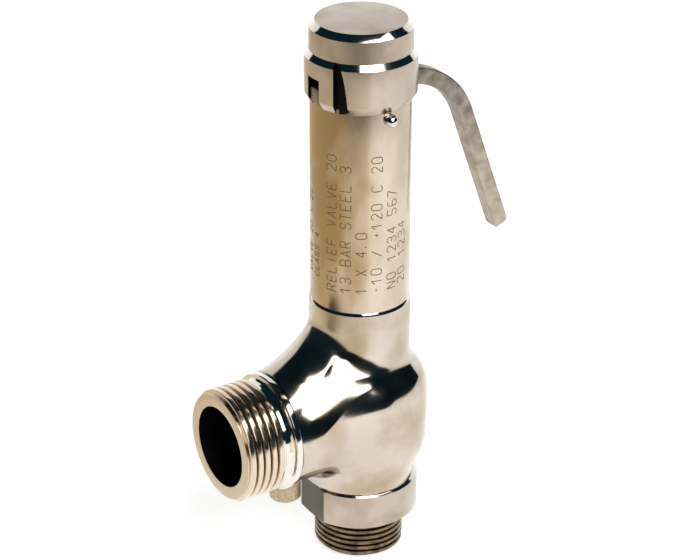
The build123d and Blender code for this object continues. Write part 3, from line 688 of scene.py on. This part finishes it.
def web_shape(x, y, z):
    """The slanted web from the branch up to the neck."""
    top = np.interp(x, web_curve[:, 0], web_curve[:, 1])
    half = np.interp(x, web_curve[:, 0], web_curve[:, 2])
    half = half + WEB_FLARE * np.clip(top - z - FLARE_FROM, 0, FLARE_DEPTH)
    above = np.maximum(z - top + WEB_HALF_HEIGHT, 0) / WEB_HALF_HEIGHT
    below = np.maximum(OUTLET_Z - z, 0) / WEB_DROP
    return (np.sqrt((y / half) ** 2 + above ** 2 + below ** 2) - 1) * half * 0.85


def casting(p):
    """Below 0 inside the casting and above 0 outside it, in mm."""
    x, y, z = p[..., 0], p[..., 1], p[..., 2]
    branch = melted([branch_shape(x, y, z), (x + BRANCH_STOP) * 0.9], -STOP_ROUND)
    web = melted([web_shape(x, y, z), x + WEB_STOP], -STOP_ROUND)
    softness = np.interp(z, [64, 76], [1.9, 0.7])  # tighter fillets where the web meets the neck
    return melted([bulb_shape(x, z, np.hypot(x, y)), branch, web], softness)


print("middle of the bulb is inside by", round(-float(casting(np.array([0.0, 0, OUTLET_Z]))), 1), "mm")

# %% [markdown]
# ## Cast body, as a mesh
# Rays from a point inside find where the melted shape ends. A metaball or a remesh would give the shape as
# well, but this grid is even and exact, so its reflections stay clean. The skin is then trimmed at its
# three machined ends, closed, and hollowed by a cavity and a bore.

# %% Casting skin
COLUMNS, ROWS = 460, 205
LOWEST_RAY, HIGHEST_RAY = -64, 80  # degrees
NEAR, FAR, STRIDE = 5.0, 62.0, 0.8  # reach of the rays and the step between looks, in mm
HALVINGS = 26


def skin(centre):
    """Grid of points where rays from the centre leave the casting."""
    turn = np.linspace(-math.pi, math.pi, COLUMNS, endpoint=False)
    lift = np.linspace(math.radians(LOWEST_RAY), math.radians(HIGHEST_RAY), ROWS)
    a, e = np.meshgrid(turn, lift)
    ray = np.stack([np.cos(a) * np.cos(e), np.sin(a) * np.cos(e), np.sin(e)], -1)
    near = np.full(a.shape, NEAR - 1)
    far = np.full(a.shape, FAR)
    found = np.zeros(a.shape, bool)
    for reach in np.arange(NEAR, FAR, STRIDE):
        outside = casting(centre + ray * reach) > 0
        first = outside & ~found
        far[first] = reach
        near[first] = reach - STRIDE
        found |= outside
    for _ in range(HALVINGS):
        middle = (near + far) / 2
        outside = casting(centre + ray * middle[..., None]) > 0
        far = np.where(outside, middle, far)
        near = np.where(outside, near, middle)
    return centre + ray * far[..., None]


grid = skin(np.array([-5.0, 0, 47.0]))
print("skin points", grid.shape, "from", grid[..., 2].min().round(1), "to", grid[..., 2].max().round(1))

# %% Casting mesh
faces = [(r * COLUMNS + c, r * COLUMNS + (c + 1) % COLUMNS, (r + 1) * COLUMNS + (c + 1) % COLUMNS,
          (r + 1) * COLUMNS + c) for r in range(ROWS - 1) for c in range(COLUMNS)]
mesh = bpy.data.meshes.new("body_casting")
mesh.from_pydata((grid.reshape(-1, 3) / 1000).tolist(), [], faces)
work = bmesh.new()
work.from_mesh(mesh)
trims = [((BRANCH_END, 0, 0), (-1, 0, 0)), ((0, 0, NECK_TRIM), (0, 0, 1)), ((0, 0, COLLAR_TOP), (0, 0, -1))]
for point, out in trims:
    everything = list(work.verts) + list(work.edges) + list(work.faces)
    bmesh.ops.bisect_plane(work, geom=everything, dist=MERGE, plane_co=Vector(point) / 1000, plane_no=out,
                           clear_outer=True)
rims = [e for e in work.edges if e.is_boundary]
caps = bmesh.ops.holes_fill(work, edges=rims, sides=0)["faces"]
bmesh.ops.recalc_face_normals(work, faces=work.faces)
for face in caps:
    face.material_index = 1
work.to_mesh(mesh)
work.free()
mesh.materials.append(polished)
mesh.materials.append(bright)
casting_piece = in_scene("body_casting", mesh)
print("casting faces", len(mesh.polygons), "caps", len(caps))

# %% Hollows of the casting
CUTTER_ROUND, CUTTER_SEGMENTS = 0.01, 96
OUTLET_BORE_R = 12.0
# the cutters leave the near-black bore finish on the hollows, which is painted shade
# from below: gasket seat, nozzle's thread, chamber, throat and bonnet's thread
cavity = lathe("cavity", [
    (0, 20), (15.4, 20), (15.4, 25.4), (13.45, 25.4), (13.45, 34), (15.9, 34), (15.9, 55.5), (11.8, 61),
    (11.8, 70.5), (12.55, 70.5), (12.55, 90), (0, 90),
], [bore_shade_finish], round_mm=CUTTER_ROUND, segments=CUTTER_SEGMENTS)
bore = lathe("bore", [(0, -60), (OUTLET_BORE_R, -60), (OUTLET_BORE_R, 0), (0, 0)], [bore_shade_finish], axis="X",
             round_mm=CUTTER_ROUND, segments=CUTTER_SEGMENTS)
cut(casting_piece, [cavity, bore])
casting_piece.data.polygons.foreach_set("use_smooth", [True] * len(casting_piece.data.polygons))
resharpened(casting_piece, 40)
print("casting faces once hollow", len(casting_piece.data.polygons))

# %% [markdown]
# ## Machined ends of the body
# The outlet end carries a G1 thread, a relief groove and a shoulder ring, all cut by a lathe. They are
# separate turned pieces that meet the casting's trimmed face, because a tool leaves a crisp edge where
# polishing can't. The neck ends in a bright bevel. The drain boss under the branch is left rough from
# blasting.

# %% Outlet end and its thread
OUTLET_PITCH, OUTLET_DEPTH, OUTLET_THREAD_R = 2.309, 1.479, 16.62
THREAD_START = OUTLET_FACE + 0.9
RELIEF_X = BRANCH_END - 5.0  # where the thread's root gives way to the relief groove
SHOULDER_R = 17.4
outlet_root = OUTLET_THREAD_R - OUTLET_DEPTH
# finishes: 0 bright, 1 threaded, 2 faced, 3 bore (near black, painted shade)
outlet_end = lathe("outlet_end", [
    (OUTLET_BORE_R, OUTLET_FACE, 2), (outlet_root + 0.5, OUTLET_FACE, 1),
    (outlet_root + 0.5, OUTLET_FACE + 0.4, 1), (outlet_root, THREAD_START, 1), (outlet_root, RELIEF_X, 0),
    (15.0, RELIEF_X + 0.6, 0), (15.15, RELIEF_X + 1.4, 0), (15.6, RELIEF_X + 2.1, 0),
    (16.2, RELIEF_X + 2.6, 0), (17.1, RELIEF_X + 2.8, 0), (SHOULDER_R, RELIEF_X + 3.1, 0),
    (SHOULDER_R, BRANCH_END - 0.5, 0), (16.9, BRANCH_END, 0), (OUTLET_BORE_R, BRANCH_END, 3),
], [bright, threaded, faced, bore_shade_finish], axis="X", round_mm=0.15, segments=288)
outlet_ridge = grown("outlet_thread", ridge_tree, threaded, Turns=5.2, Pitch=OUTLET_PITCH / 1000,
                     Radius=(outlet_root - SINK) / 1000, Depth=(OUTLET_DEPTH + SINK) / 1000,
                     Foot_width=0.97 * OUTLET_PITCH / 1000, Crest_width=0.62 * OUTLET_PITCH / 1000,
                     Taper_turns=0.1)
onto_outlet = Matrix.Translation((THREAD_START / 1000, 0, OUTLET_Z / 1000))
placed(outlet_ridge, onto_outlet @ Matrix.Rotation(math.radians(90), 4, "Y"))
print("outlet end", len(outlet_end.data.polygons), "ridge", len(outlet_ridge.data.polygons))

# %% Neck rim and drain boss
RIM_BORE_R, RIM_SEAT_R, RIM_TOP_R, RIM_FOOT_R = 12.6, 13.5, 14.28, 14.4
BOSS_X, BOSS_R, BOSS_TOP = -26.0, 4.6, 34
# finishes: 0 bright, 1 bore (near black, painted shade)
neck_rim = lathe("neck_rim", [
    (RIM_BORE_R, NECK_TRIM - 0.5, 1), (RIM_FOOT_R, NECK_TRIM - 0.5, 0), (RIM_FOOT_R, NECK_TRIM, 0),
    (NECK_R, NECK_TRIM, 0), (RIM_TOP_R, NECK_TOP, 0), (RIM_SEAT_R, NECK_TOP, 1),
    (RIM_SEAT_R, NECK_TOP - 0.8, 1), (RIM_BORE_R, NECK_TOP - 0.8, 1),
], [bright, bore_shade_finish], round_mm=0.05)
boss = lathe("drain_boss", [
    (0, body_low[2], 0), (BOSS_R - 0.5, body_low[2], 0), (BOSS_R, body_low[2] + 0.5, 0),
    (BOSS_R, BOSS_TOP, 0), (0, BOSS_TOP, 0),
], [blasted], round_mm=0.35, segments=96)
placed(boss, Matrix.Translation((BOSS_X / 1000, 0, 0)))
for piece in (casting_piece, outlet_end, outlet_ridge, neck_rim, boss):
    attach(piece, "housing")
    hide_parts("valve_body")
print("rim", len(neck_rim.data.polygons), "boss", len(boss.data.polygons))

# %% [markdown]
# ## Bonnet
# The bonnet is a turned tube that hides the spring. A slot runs across its top for the lever. A plain
# cylinder would do for the outside, but the slot and its thickness can be seen through the cap's window.

# %% Bonnet
SLOT_WIDTH, SLOT_FLOOR = 5.4, 144.3
CAP_THREAD_R, CAP_THREAD_FOOT = 13.6, 145.2
FOOT_R, FOOT_BORE_R, FOOT_TOP, SPRING_ROOM_R, SCREW_R, SCREW_FOOT = 12.5, 5, 76, 11, 12, 127.6
CUT_REACH = 20  # half length of the lever's cutters, past the cap's collar
half_slot = SLOT_WIDTH / 2
# finishes: 0 satin, 1 faced
bonnet = lathe("bonnet_tube", [
    (FOOT_BORE_R, bonnet_low[2], 1), (FOOT_R, bonnet_low[2], 1), (FOOT_R, NECK_TOP, 1),
    (BONNET_R, NECK_TOP, 0), (BONNET_R, CAP_THREAD_FOOT, 1), (CAP_THREAD_R, CAP_THREAD_FOOT, 1),
    (CAP_THREAD_R, bonnet_high[2], 1),
    (SCREW_R, bonnet_high[2], 1), (SCREW_R, SCREW_FOOT, 1), (SPRING_ROOM_R, SCREW_FOOT, 1),
    (SPRING_ROOM_R, FOOT_TOP, 1), (FOOT_BORE_R, FOOT_TOP, 1),
], [satin, faced], segments=320)
slot_outline = [(-CUT_REACH, SLOT_FLOOR), (CUT_REACH, SLOT_FLOOR), (CUT_REACH, 160), (-CUT_REACH, 160)]
cut(bonnet, [block("slot", slot_outline, -half_slot, half_slot, Matrix.Identity(4), faced)])
resharpened(bonnet, 30)
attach(bonnet, "housing")
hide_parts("bonnet")
print("bonnet", len(bonnet.data.polygons))

# %% [markdown]
# ## Laser marks
# Generic lines of marking run up the bonnet, burnt on by a laser that draws each letter with single
# strokes. Text objects have outlines, which a laser doesn't draw, so each letter is a few strokes on a 4
# by 6 grid. Geometry Nodes cut the strokes fine, wrap them on the bonnet and sweep a thin flat strip along
# them.

# %% Letters
# each stroke is a run of grid corners, across and then up, and | lifts the beam
STROKES = {
    "A": "00 26 40|12 32", "B": "00 06 36 45 44 33 03|33 42 41 30 00", "C": "45 36 16 05 01 10 30 41",
    "E": "46 06 00 40|03 33", "F": "46 06 00|03 33", "I": "20 26", "L": "06 00 40", "N": "00 06 40 46",
    "O": "10 01 05 16 36 45 41 30 10", "R": "00 06 36 45 44 33 03|23 40",
    "S": "45 36 16 05 04 13 33 42 41 30 10 01", "T": "06 46|26 20", "V": "06 20 46", "X": "00 46|06 40",
    "0": "10 01 05 16 36 45 41 30 10", "1": "04 26 20", "2": "05 16 36 45 44 00 40",
    "3": "05 16 36 45 44 33 13|33 42 41 30 10 01", "4": "30 36 02 42", "5": "46 06 03 33 42 41 30 10 01",
    "6": "36 16 05 01 10 30 41 42 33 03", "7": "06 46 10", "-": "13 33", "+": "13 33|22 24", "/": "00 46",
    ".": "10 11", " ": "",
}
# each line: (turn from straight ahead in degrees, height of its foot, letter height, text)
LINES = [
    (-73, 92, 2.2, "VALVE 20 X 25"), (-58, 92, 2.2, "CLASS 4"), (-34, 89.5, 3.1, "RELIEF VALVE 20"),
    (-16.5, 89.5, 3.1, "13 BAR STEEL 3"), (1.5, 89.5, 3.1, "1 X 4.0"), (19, 89.5, 3.1, "-10 / +120 C 20"),
    (38.5, 90, 3.1, "NO 1234 567"), (54.5, 90.5, 3.1, "20 1234"),
]
CAMERA_SIDE = -124.0  # azimuth that the marks face, which is the camera's side, in degrees
GRID_STEP, LETTER_STEP = 0.145, 0.92  # width of a grid square and of a letter's place, in letter heights
strokes = bpy.data.curves.new("mark_strokes", "CURVE")
strokes.dimensions = "3D"
for turn_deg, foot, tall, text in LINES:
    middle = math.radians(CAMERA_SIDE + turn_deg) * BONNET_R
    for i, letter in enumerate(text):
        for stroke in filter(None, STROKES[letter].split("|")):
            knots = [(foot + tall * (LETTER_STEP * i + int(p[0]) * GRID_STEP),
                      middle - tall * (int(p[1]) / 6 - 0.5)) for p in stroke.split()]
            line = strokes.splines.new("POLY").points
            line.add(len(knots) - 1)
            for point, (up, arc_at) in zip(line, knots):
                point.co = (up / 1000, arc_at / 1000, 0, 1)
print("strokes", len(strokes.splines))

# %% Marks
def marks_tree():
    """Geometry Nodes tree: flat strokes (height in X, arc in Y) wrapped on a cylinder and swept flat."""
    sizes = ("Cylinder radius", "Line width", "Line depth", "Step")
    tree, start = new_tree("wrapped_marks", sizes, "Strokes")
    fine = add(tree, "GeometryNodeResampleCurve", {"Curve": start["Strokes"], "Length": start["Step"]},
               mode="LENGTH")
    flat = add(tree, "ShaderNodeSeparateXYZ", {"Vector": add(tree, "GeometryNodeInputPosition").outputs[0]})
    angle = add(tree, "ShaderNodeMath", {0: flat.outputs["Y"], 1: start["Cylinder radius"]},
                operation="DIVIDE")
    cosine = add(tree, "ShaderNodeMath", {0: angle.outputs[0]}, operation="COSINE")
    sine = add(tree, "ShaderNodeMath", {0: angle.outputs[0]}, operation="SINE")
    outward = add(tree, "ShaderNodeCombineXYZ", {"X": cosine.outputs[0], "Y": sine.outputs[0]})
    reach = add(tree, "ShaderNodeVectorMath", {0: outward.outputs[0], "Scale": start["Cylinder radius"]},
                operation="SCALE")
    lift = add(tree, "ShaderNodeCombineXYZ", {"Z": flat.outputs["X"]})
    spot = add(tree, "ShaderNodeVectorMath", {0: reach.outputs[0], 1: lift.outputs[0]}, operation="ADD")
    wrapped = add(tree, "GeometryNodeSetPosition", {
        "Geometry": fine.outputs[0], "Position": spot.outputs[0]})
    # the strip lies flat on the cylinder because its normal is the way out from the axis
    place = add(tree, "GeometryNodeInputPosition")
    radial = add(tree, "ShaderNodeVectorMath", {0: place.outputs[0]}, operation="MULTIPLY")
    radial.inputs[1].default_value = (1, 1, 0)
    facing = add(tree, "GeometryNodeSetCurveNormal", {
        "Curve": wrapped.outputs[0], "Normal": radial.outputs[0]}, mode="FREE")
    strip = add(tree, "GeometryNodeCurvePrimitiveQuadrilateral", {
        "Width": start["Line depth"], "Height": start["Line width"]}, mode="RECTANGLE")
    sweep = add(tree, "GeometryNodeCurveToMesh", {
        "Curve": facing.outputs[0], "Profile Curve": strip.outputs[0]}, Fill_Caps=True)
    return close_tree(tree, sweep.outputs[0], start["Finish"])


LINE_WIDTH, LINE_DEPTH, LINE_STEP = 0.28, 0.03, 0.3
marks = grown("bonnet_marks", marks_tree(), burnt, strokes, Cylinder_radius=BONNET_R / 1000,
              Line_width=LINE_WIDTH / 1000, Line_depth=LINE_DEPTH / 1000, Step=LINE_STEP / 1000)
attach(marks, "housing")
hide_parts("bonnet")
print("marks", len(marks.data.polygons))

# %% [markdown]
# ## Cap
# The cap screws over the bonnet's top and keeps the lever in. Its bevels are bright against the satin. The
# lever passes through a window, and one spanner notch with a ragged burr is cut in its collar. Both are
# cut with blocks, which leave real walls that the light can reach.

# %% Cap
CAP_R, CAP_BEVEL = 14.53, 1.7
COLLAR_TOP_EDGE, CAP_NECK_FOOT = 157.1, 158.7
CAP_CEILING, HEAD_ROOM_R, HEAD_ROOM_FOOT, CAP_SHOULDER = 163.8, 11.4, 155.4, 145.3
CAP_GAP = 0.05  # room between the cap and the bonnet
WINDOW_TOP = 152.6
# finishes: 0 satin, 1 bright, 2 bore (near black, painted shade)
cap = lathe("cap_shell", [
    (BONNET_R + CAP_GAP, CAP_FOOT, 1), (14.4, CAP_FOOT, 0), (CAP_COLLAR_R, CAP_FOOT + 2.4, 0),
    (CAP_COLLAR_R, COLLAR_TOP_EDGE, 1), (CAP_R, CAP_NECK_FOOT, 0), (CAP_R, CAP_TOP - CAP_BEVEL, 1),
    (CAP_R - CAP_BEVEL, CAP_TOP, 0), (0, CAP_TOP, 0), (0, CAP_CEILING, 2), (HEAD_ROOM_R, CAP_CEILING, 2),
    (HEAD_ROOM_R, HEAD_ROOM_FOOT, 2), (CAP_THREAD_R + CAP_GAP, HEAD_ROOM_FOOT, 2),
    (CAP_THREAD_R + CAP_GAP, CAP_SHOULDER, 2), (BONNET_R + CAP_GAP, CAP_SHOULDER, 2),
], [plain_satin, bright, bore_shade_finish], segments=320)
window_outline = [(-CUT_REACH, CAP_FOOT - 1), (CUT_REACH, CAP_FOOT - 1), (CUT_REACH, WINDOW_TOP),
                  (-CUT_REACH, WINDOW_TOP)]
# the window's and the notch's walls take the near-black bore finish, which is painted shade
window = block("window", window_outline, -half_slot, half_slot, Matrix.Identity(4), bore_shade_finish)
print("cap before its cuts", len(cap.data.polygons))

# %% Notch and finished cap
NOTCH_ANGLE, NOTCH_WIDTH, NOTCH_DEPTH, NOTCH_TOP = 207.6, 4.5, 1.5, 158.9
BURR, BURR_TOP = 0.09, 149
right = [(NOTCH_WIDTH * t ** 0.3, NOTCH_TOP - (NOTCH_TOP - CAP_FOOT + 1) * t) for t in np.linspace(0, 1, 22)]
burr = [(BURR * math.sin(9 * z) * (z < BURR_TOP), z) for z in np.linspace(CAP_FOOT - 1, NOTCH_TOP - 1.6, 40)]
facing_notch = Matrix.Rotation(math.radians(NOTCH_ANGLE - 90), 4, "Z")
outline = [(-x, z) for x, z in right + burr][::-1]
notch = block("notch", outline, CAP_COLLAR_R - NOTCH_DEPTH, CAP_COLLAR_R + 4, facing_notch, bore_shade_finish)
cut(cap, [window, notch])
resharpened(cap, 30)
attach(cap, "housing")
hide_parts("lever_cap")
print("cap", len(cap.data.polygons))

# %% [markdown]
# ## Lock pin
# A pin with a ball head is pushed in under the cap, so that nobody turns it. It is one lathe profile, an
# arc for the ball and a plain shank, laid over towards the bonnet. A sphere joined to a cylinder would
# leave a seam.

# %% Lock pin
BALL_R, SHANK_R, SHANK_FROM, SHANK_TO = 1.82, 0.9, 1.7, 4.7
ball_centre = Vector((0, pin_low[1] + BALL_R, (pin_low[2] + pin_high[2]) / 2))
arc = [(BALL_R * math.sin(t), -BALL_R * math.cos(t), 0) for t in np.linspace(0, math.pi * 0.83, 40)]
shank = [(SHANK_R, SHANK_FROM, 0), (SHANK_R, SHANK_TO, 0), (0, SHANK_TO, 0)]
pin = lathe("lock_pin_ball", arc + shank, [ball], round_mm=0.02, segments=64)
placed(pin, Matrix.Translation(ball_centre / 1000) @ Matrix.Rotation(math.radians(-90), 4, "X"))
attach(pin, "housing")
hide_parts("lock_pin")
print("pin", len(pin.data.polygons))

# %% [markdown]
# ## Lift lever
# The lever is square bar bent once, with soft edges and a rounded tip. A bent box would pinch in the bend.
# Here Geometry Nodes round the one corner of a path and sweep the bar's section along it, so that the width
# stays even, and the path's radius rounds the tip.

# %% Lever tree
BEND_STEPS, EDGE_STEPS = 60, 5


def lever_tree():
    """Geometry Nodes tree: a rounded bar swept along a path whose corner is filleted."""
    tree, start = new_tree("lever_bar", ("Bend radius", "Width", "Thickness", "Edge radius"), "Path")
    bent = add(tree, "GeometryNodeFilletCurve", {"Curve": start["Path"], "Radius": start["Bend radius"]},
               mode="POLY", Count=BEND_STEPS)
    level = add(tree, "GeometryNodeSetCurveNormal", {"Curve": bent.outputs[0]}, mode="FREE",
                Normal=(0, 1, 0))
    square = add(tree, "GeometryNodeCurvePrimitiveQuadrilateral", {
        "Width": start["Thickness"], "Height": start["Width"]}, mode="RECTANGLE")
    soft = add(tree, "GeometryNodeFilletCurve", {"Curve": square.outputs[0], "Radius": start["Edge radius"]},
               mode="POLY", Count=EDGE_STEPS)
    sweep = add(tree, "GeometryNodeCurveToMesh", {
        "Curve": level.outputs[0], "Profile Curve": soft.outputs[0],
        "Scale": add(tree, "GeometryNodeInputRadius").outputs[0]}, Fill_Caps=True)
    smooth = add(tree, "GeometryNodeSetShadeSmooth", {"Geometry": sweep.outputs[0]})
    return close_tree(tree, smooth.outputs[0], start["Finish"])


bar_tree = lever_tree()
print("lever tree", len(bar_tree.nodes), "nodes")

# %% Lever
LEVER_WIDTH, LEVER_THICK, LEVER_EDGE_R = 4.85, 4.8, 0.45
LEVER_BEND_R, LEVER_TURN, LEVER_HANDLE = 25.68, 70.0, 40.4
BEND_X, LEVER_TOP = 12.86, 149.5
mid_r = LEVER_BEND_R - LEVER_WIDTH / 2
turn = math.radians(LEVER_TURN)
level_z = LEVER_TOP - LEVER_WIDTH / 2
corner_reach = mid_r * math.tan(turn / 2)
foot = Vector((lever_low[0], 0, level_z))
corner = Vector((BEND_X + corner_reach, 0, level_z))
down = Vector((math.cos(turn), 0, -math.sin(turn)))
handle_end = corner + down * (corner_reach + LEVER_HANDLE)
# each knot: (place, size of the bar's section there)
knots = [(foot, 0.9), (foot + Vector((0.25, 0, 0)), 1.0), (corner, 1.0), (handle_end, 1.0)]
knots += [(handle_end + down * (LEVER_WIDTH / 2) * math.sin(t), max(math.cos(t), 0.12))
          for t in np.linspace(0.15, math.pi / 2, 10)]
path = bpy.data.curves.new("lever_path", "CURVE")
path.dimensions = "3D"
points = path.splines.new("POLY").points
points.add(len(knots) - 1)
for knot, (place, size) in zip(points, knots):
    knot.co = (*(place / 1000), 1)
    knot.radius = size
lever = grown("lever_bar", bar_tree, tumbled, path, Bend_radius=mid_r / 1000, Width=LEVER_WIDTH / 1000,
              Thickness=LEVER_THICK / 1000, Edge_radius=LEVER_EDGE_R / 1000)
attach(lever, "lever")
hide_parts("lift_lever")
reached = np.array([v.co for v in lever.data.vertices]) * 1000
print("lever from", reached.min(0).round(2), "to", reached.max(0).round(2))
print("its CAD from", lever_low.round(2), "to", lever_high.round(2))

# %% [markdown]
# ## Spring
# The spring is one wire on a spiral. It rests on the lower plate, which rises with the stem, while its top
# stays with the housing. Riding one body would make it cut through a plate, so here it rides none: it is one
# fixed mesh where the CAD spring stands, and it doesn't bend as the valve opens.

# %% Spring
WIRE_R, SPRING_R, SPRING_TURNS = 1.2, 8.8, 6.5
rise = spring_high[2] - spring_low[2] - 2 * WIRE_R
spring = grown("spring_coil", wire_tree, spring_wire, Turns=SPRING_TURNS, Pitch=rise / SPRING_TURNS / 1000,
               Radius=SPRING_R / 1000, Depth=WIRE_R / 1000, Taper_turns=0.0001)
placed(spring, raised(spring_low[2] + WIRE_R))
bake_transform(spring)
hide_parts("relief_spring")
print("spring", len(spring.data.polygons))

# %% [markdown]
# ## Finishes of the pieces that keep their CAD mesh
# The stem, plates, screws, seals and gaskets are small or hidden, and their CAD shapes are already right.
# They could be rebuilt, with nothing to see for it, so only their slots get the finishes made above.

# %% Slots
finish_of = {"polished_cast_steel": polished, "satin_turned_steel": satin, "turned_steel": threaded,
             "tumbled_steel": tumbled, "polished_steel": ball, "spring_steel": spring_wire, "bronze": bronze,
             "gasket_ptfe": ptfe, "seal_ptfe": ptfe}
painted = 0
for node in nodes.values():
    for material_slot in node.material_slots:
        name = material_slot.material.name.split(".")[0]
        if name in finish_of and material_slot.material is not finish_of[name]:
            material_slot.link = "OBJECT"
            material_slot.material = finish_of[name]
            painted += 1
print("repainted slots", painted)
print(sorted({s.material.name for n in nodes.values() for s in n.material_slots}))

# %% [markdown]
# ## Stage
# Steel has no look of its own: it shows what stands around it. So the stage is a white table and backdrop
# with two cards lying on the table, a cream one at the left and a pale grey one in front, which glows less
# and so paints the table's shade near the camera. An image of a studio could wrap the scene, but a few
# sheets give plain reflections and the table catches a real shadow.

# %% Stage helpers
def paper_finish(name, colour, glow):
    """Pale paper that is lit and also glows a little, so that it stays white."""
    made, _, shader, _ = surface(name, colour, 0.9, metallic=0.0)
    shader.inputs["Specular IOR Level"].default_value = 0.1
    shader.inputs["Emission Color"].default_value = linear(colour)
    shader.inputs["Emission Strength"].default_value = glow
    return made


def sheet_of(name, corners, material):
    """One flat face of the stage."""
    mesh = bpy.data.meshes.new(name)
    mesh.from_pydata([tuple(c) for c in corners], [], [tuple(range(len(corners)))])
    mesh.materials.append(material)
    in_scene(name, mesh)


def around(azimuth, distance, z=0.0):
    """A place in metres, at this azimuth and distance from the valve's axis."""
    a = math.radians(azimuth)
    return Vector((distance * math.cos(a), distance * math.sin(a), z))


print("stage helpers ready")

# %% Table, backdrop and cards
AHEAD, RIGHTWARDS = 56, -34  # azimuths straight away from the camera and to its right
TABLE_EDGE, TABLE_TURN, TABLE_DEPTH = 0.56, 78, 3.0  # the near edge, its half angle and the far corners
BACKDROP_AWAY, BACKDROP_TOP = 2.4, Vector((0, 0, 1.44))
CARD_Z = 0.001
paper = paper_finish("white_paper", "#fbfbfa", 0.75)
cream = paper_finish("cream_card", "#f0e3c6", 0.6)
# the grey card glows less than the white paper, which is painted shade on the table
grey = paper_finish("painted_shade_card", "#ebe2d3", 0.67)
table = [around(CAMERA_SIDE + t, TABLE_EDGE / math.cos(math.radians(t))) for t in (-TABLE_TURN, TABLE_TURN)]
sheet_of("floor", table + [around(12, TABLE_DEPTH), around(100, TABLE_DEPTH)], paper)
back_near, back_far = around(2, BACKDROP_AWAY), around(112, BACKDROP_AWAY)
sheet_of("backdrop", [back_near, back_far, back_far + BACKDROP_TOP, back_near + BACKDROP_TOP], paper)
away, aside = around(AHEAD, 1), around(RIGHTWARDS, 1)
# the left card's corners are (to the right, away) from the valve
LEFT_CARD = ((-0.115, -0.17), (-0.125, 0), (-0.165, 0.35), (-0.45, 0.6), (-0.65, 0.3), (-0.65, -0.35),
             (-0.34, -0.52))
sheet_of("left_card", [aside * u + away * v + Vector((0, 0, CARD_Z)) for u, v in LEFT_CARD], cream)
# the front card, a dimmer sheet that paints the table's shade near the camera, is a ring's sector, from near
# the valve to the table's edge
sheet_of("front_card", [around(a, 0.13, CARD_Z) for a in (-157, -131, -105)]
         + [around(a, r, CARD_Z) for a, r in ((-105, 0.57), (-131, 0.55), (-157, 0.64))], grey)
print("stage sheets: floor, backdrop, left_card, front_card")

# %% [markdown]
# ## Light
# One near box, high and a little to the camera's right, gives the broad white area on the bulb and the
# streaks on the bevels. A weaker panel fills from further right. The world is a dim blue-grey, so that the
# dark parts of the polish are deep. More lights would add more white spots, and polished metal needs few
# and large ones.

# %% Lights and world
def area(name, azimuth, elevation, distance, width, height, power, target=(0, 0, 0.08)):
    """A rectangular light that faces a target, in metres and watts."""
    light = bpy.data.lights.new(name, "AREA")
    light.shape = "RECTANGLE"
    light.size, light.size_y = width, height
    light.energy = power
    lamp = in_scene(name, light)
    a, e = math.radians(azimuth), math.radians(elevation)
    place = Vector((math.cos(a) * math.cos(e), math.sin(a) * math.cos(e), math.sin(e))) * distance
    lamp.location = Vector(target) + place
    lamp.rotation_euler = (-place).to_track_quat("-Z", "Y").to_euler()


area("front_box", azimuth=-99, elevation=46, distance=0.62, width=0.35, height=0.47, power=2.2,
     target=(0, 0, 0.05))
area("top_panel", azimuth=-62, elevation=52, distance=1.3, width=0.9, height=0.36, power=3)
world = bpy.data.worlds.new("dark_room")
world.use_nodes = True
world.node_tree.nodes["Background"].inputs["Color"].default_value = linear("#16323f")
world.node_tree.nodes["Background"].inputs["Strength"].default_value = 0.5
bpy.context.scene.world = world

# %% [markdown]
# ## Camera
# The camera looks down at the valve from the outlet's side with a long lens, which keeps its sides almost
# parallel. It has no depth of field. Standard view colours are used, because a filmic curve would grey the
# white table.

# %% Camera
CAMERA_PLACE = Vector((-0.34082, -0.50584, 0.39852))
LOOK = Vector((0.49681, 0.73886, -0.45526))
ROLL = Matrix.Rotation(math.radians(0.32), 3, "Z")
camera_data = bpy.data.cameras.new("camera")
camera_data.lens = 122.58
camera_data.sensor_width = 36
camera_data.shift_x = -0.011
camera = in_scene("camera", camera_data)
camera.location = CAMERA_PLACE
camera.rotation_euler = (LOOK.to_track_quat("-Z", "Y").to_matrix() @ ROLL).to_euler()
bpy.context.scene.camera = camera
bpy.context.scene.view_settings.view_transform = "Standard"
print("camera", round(LOOK.angle(Vector((0, 0, -1))) * 180 / math.pi, 1), "degrees from straight down")
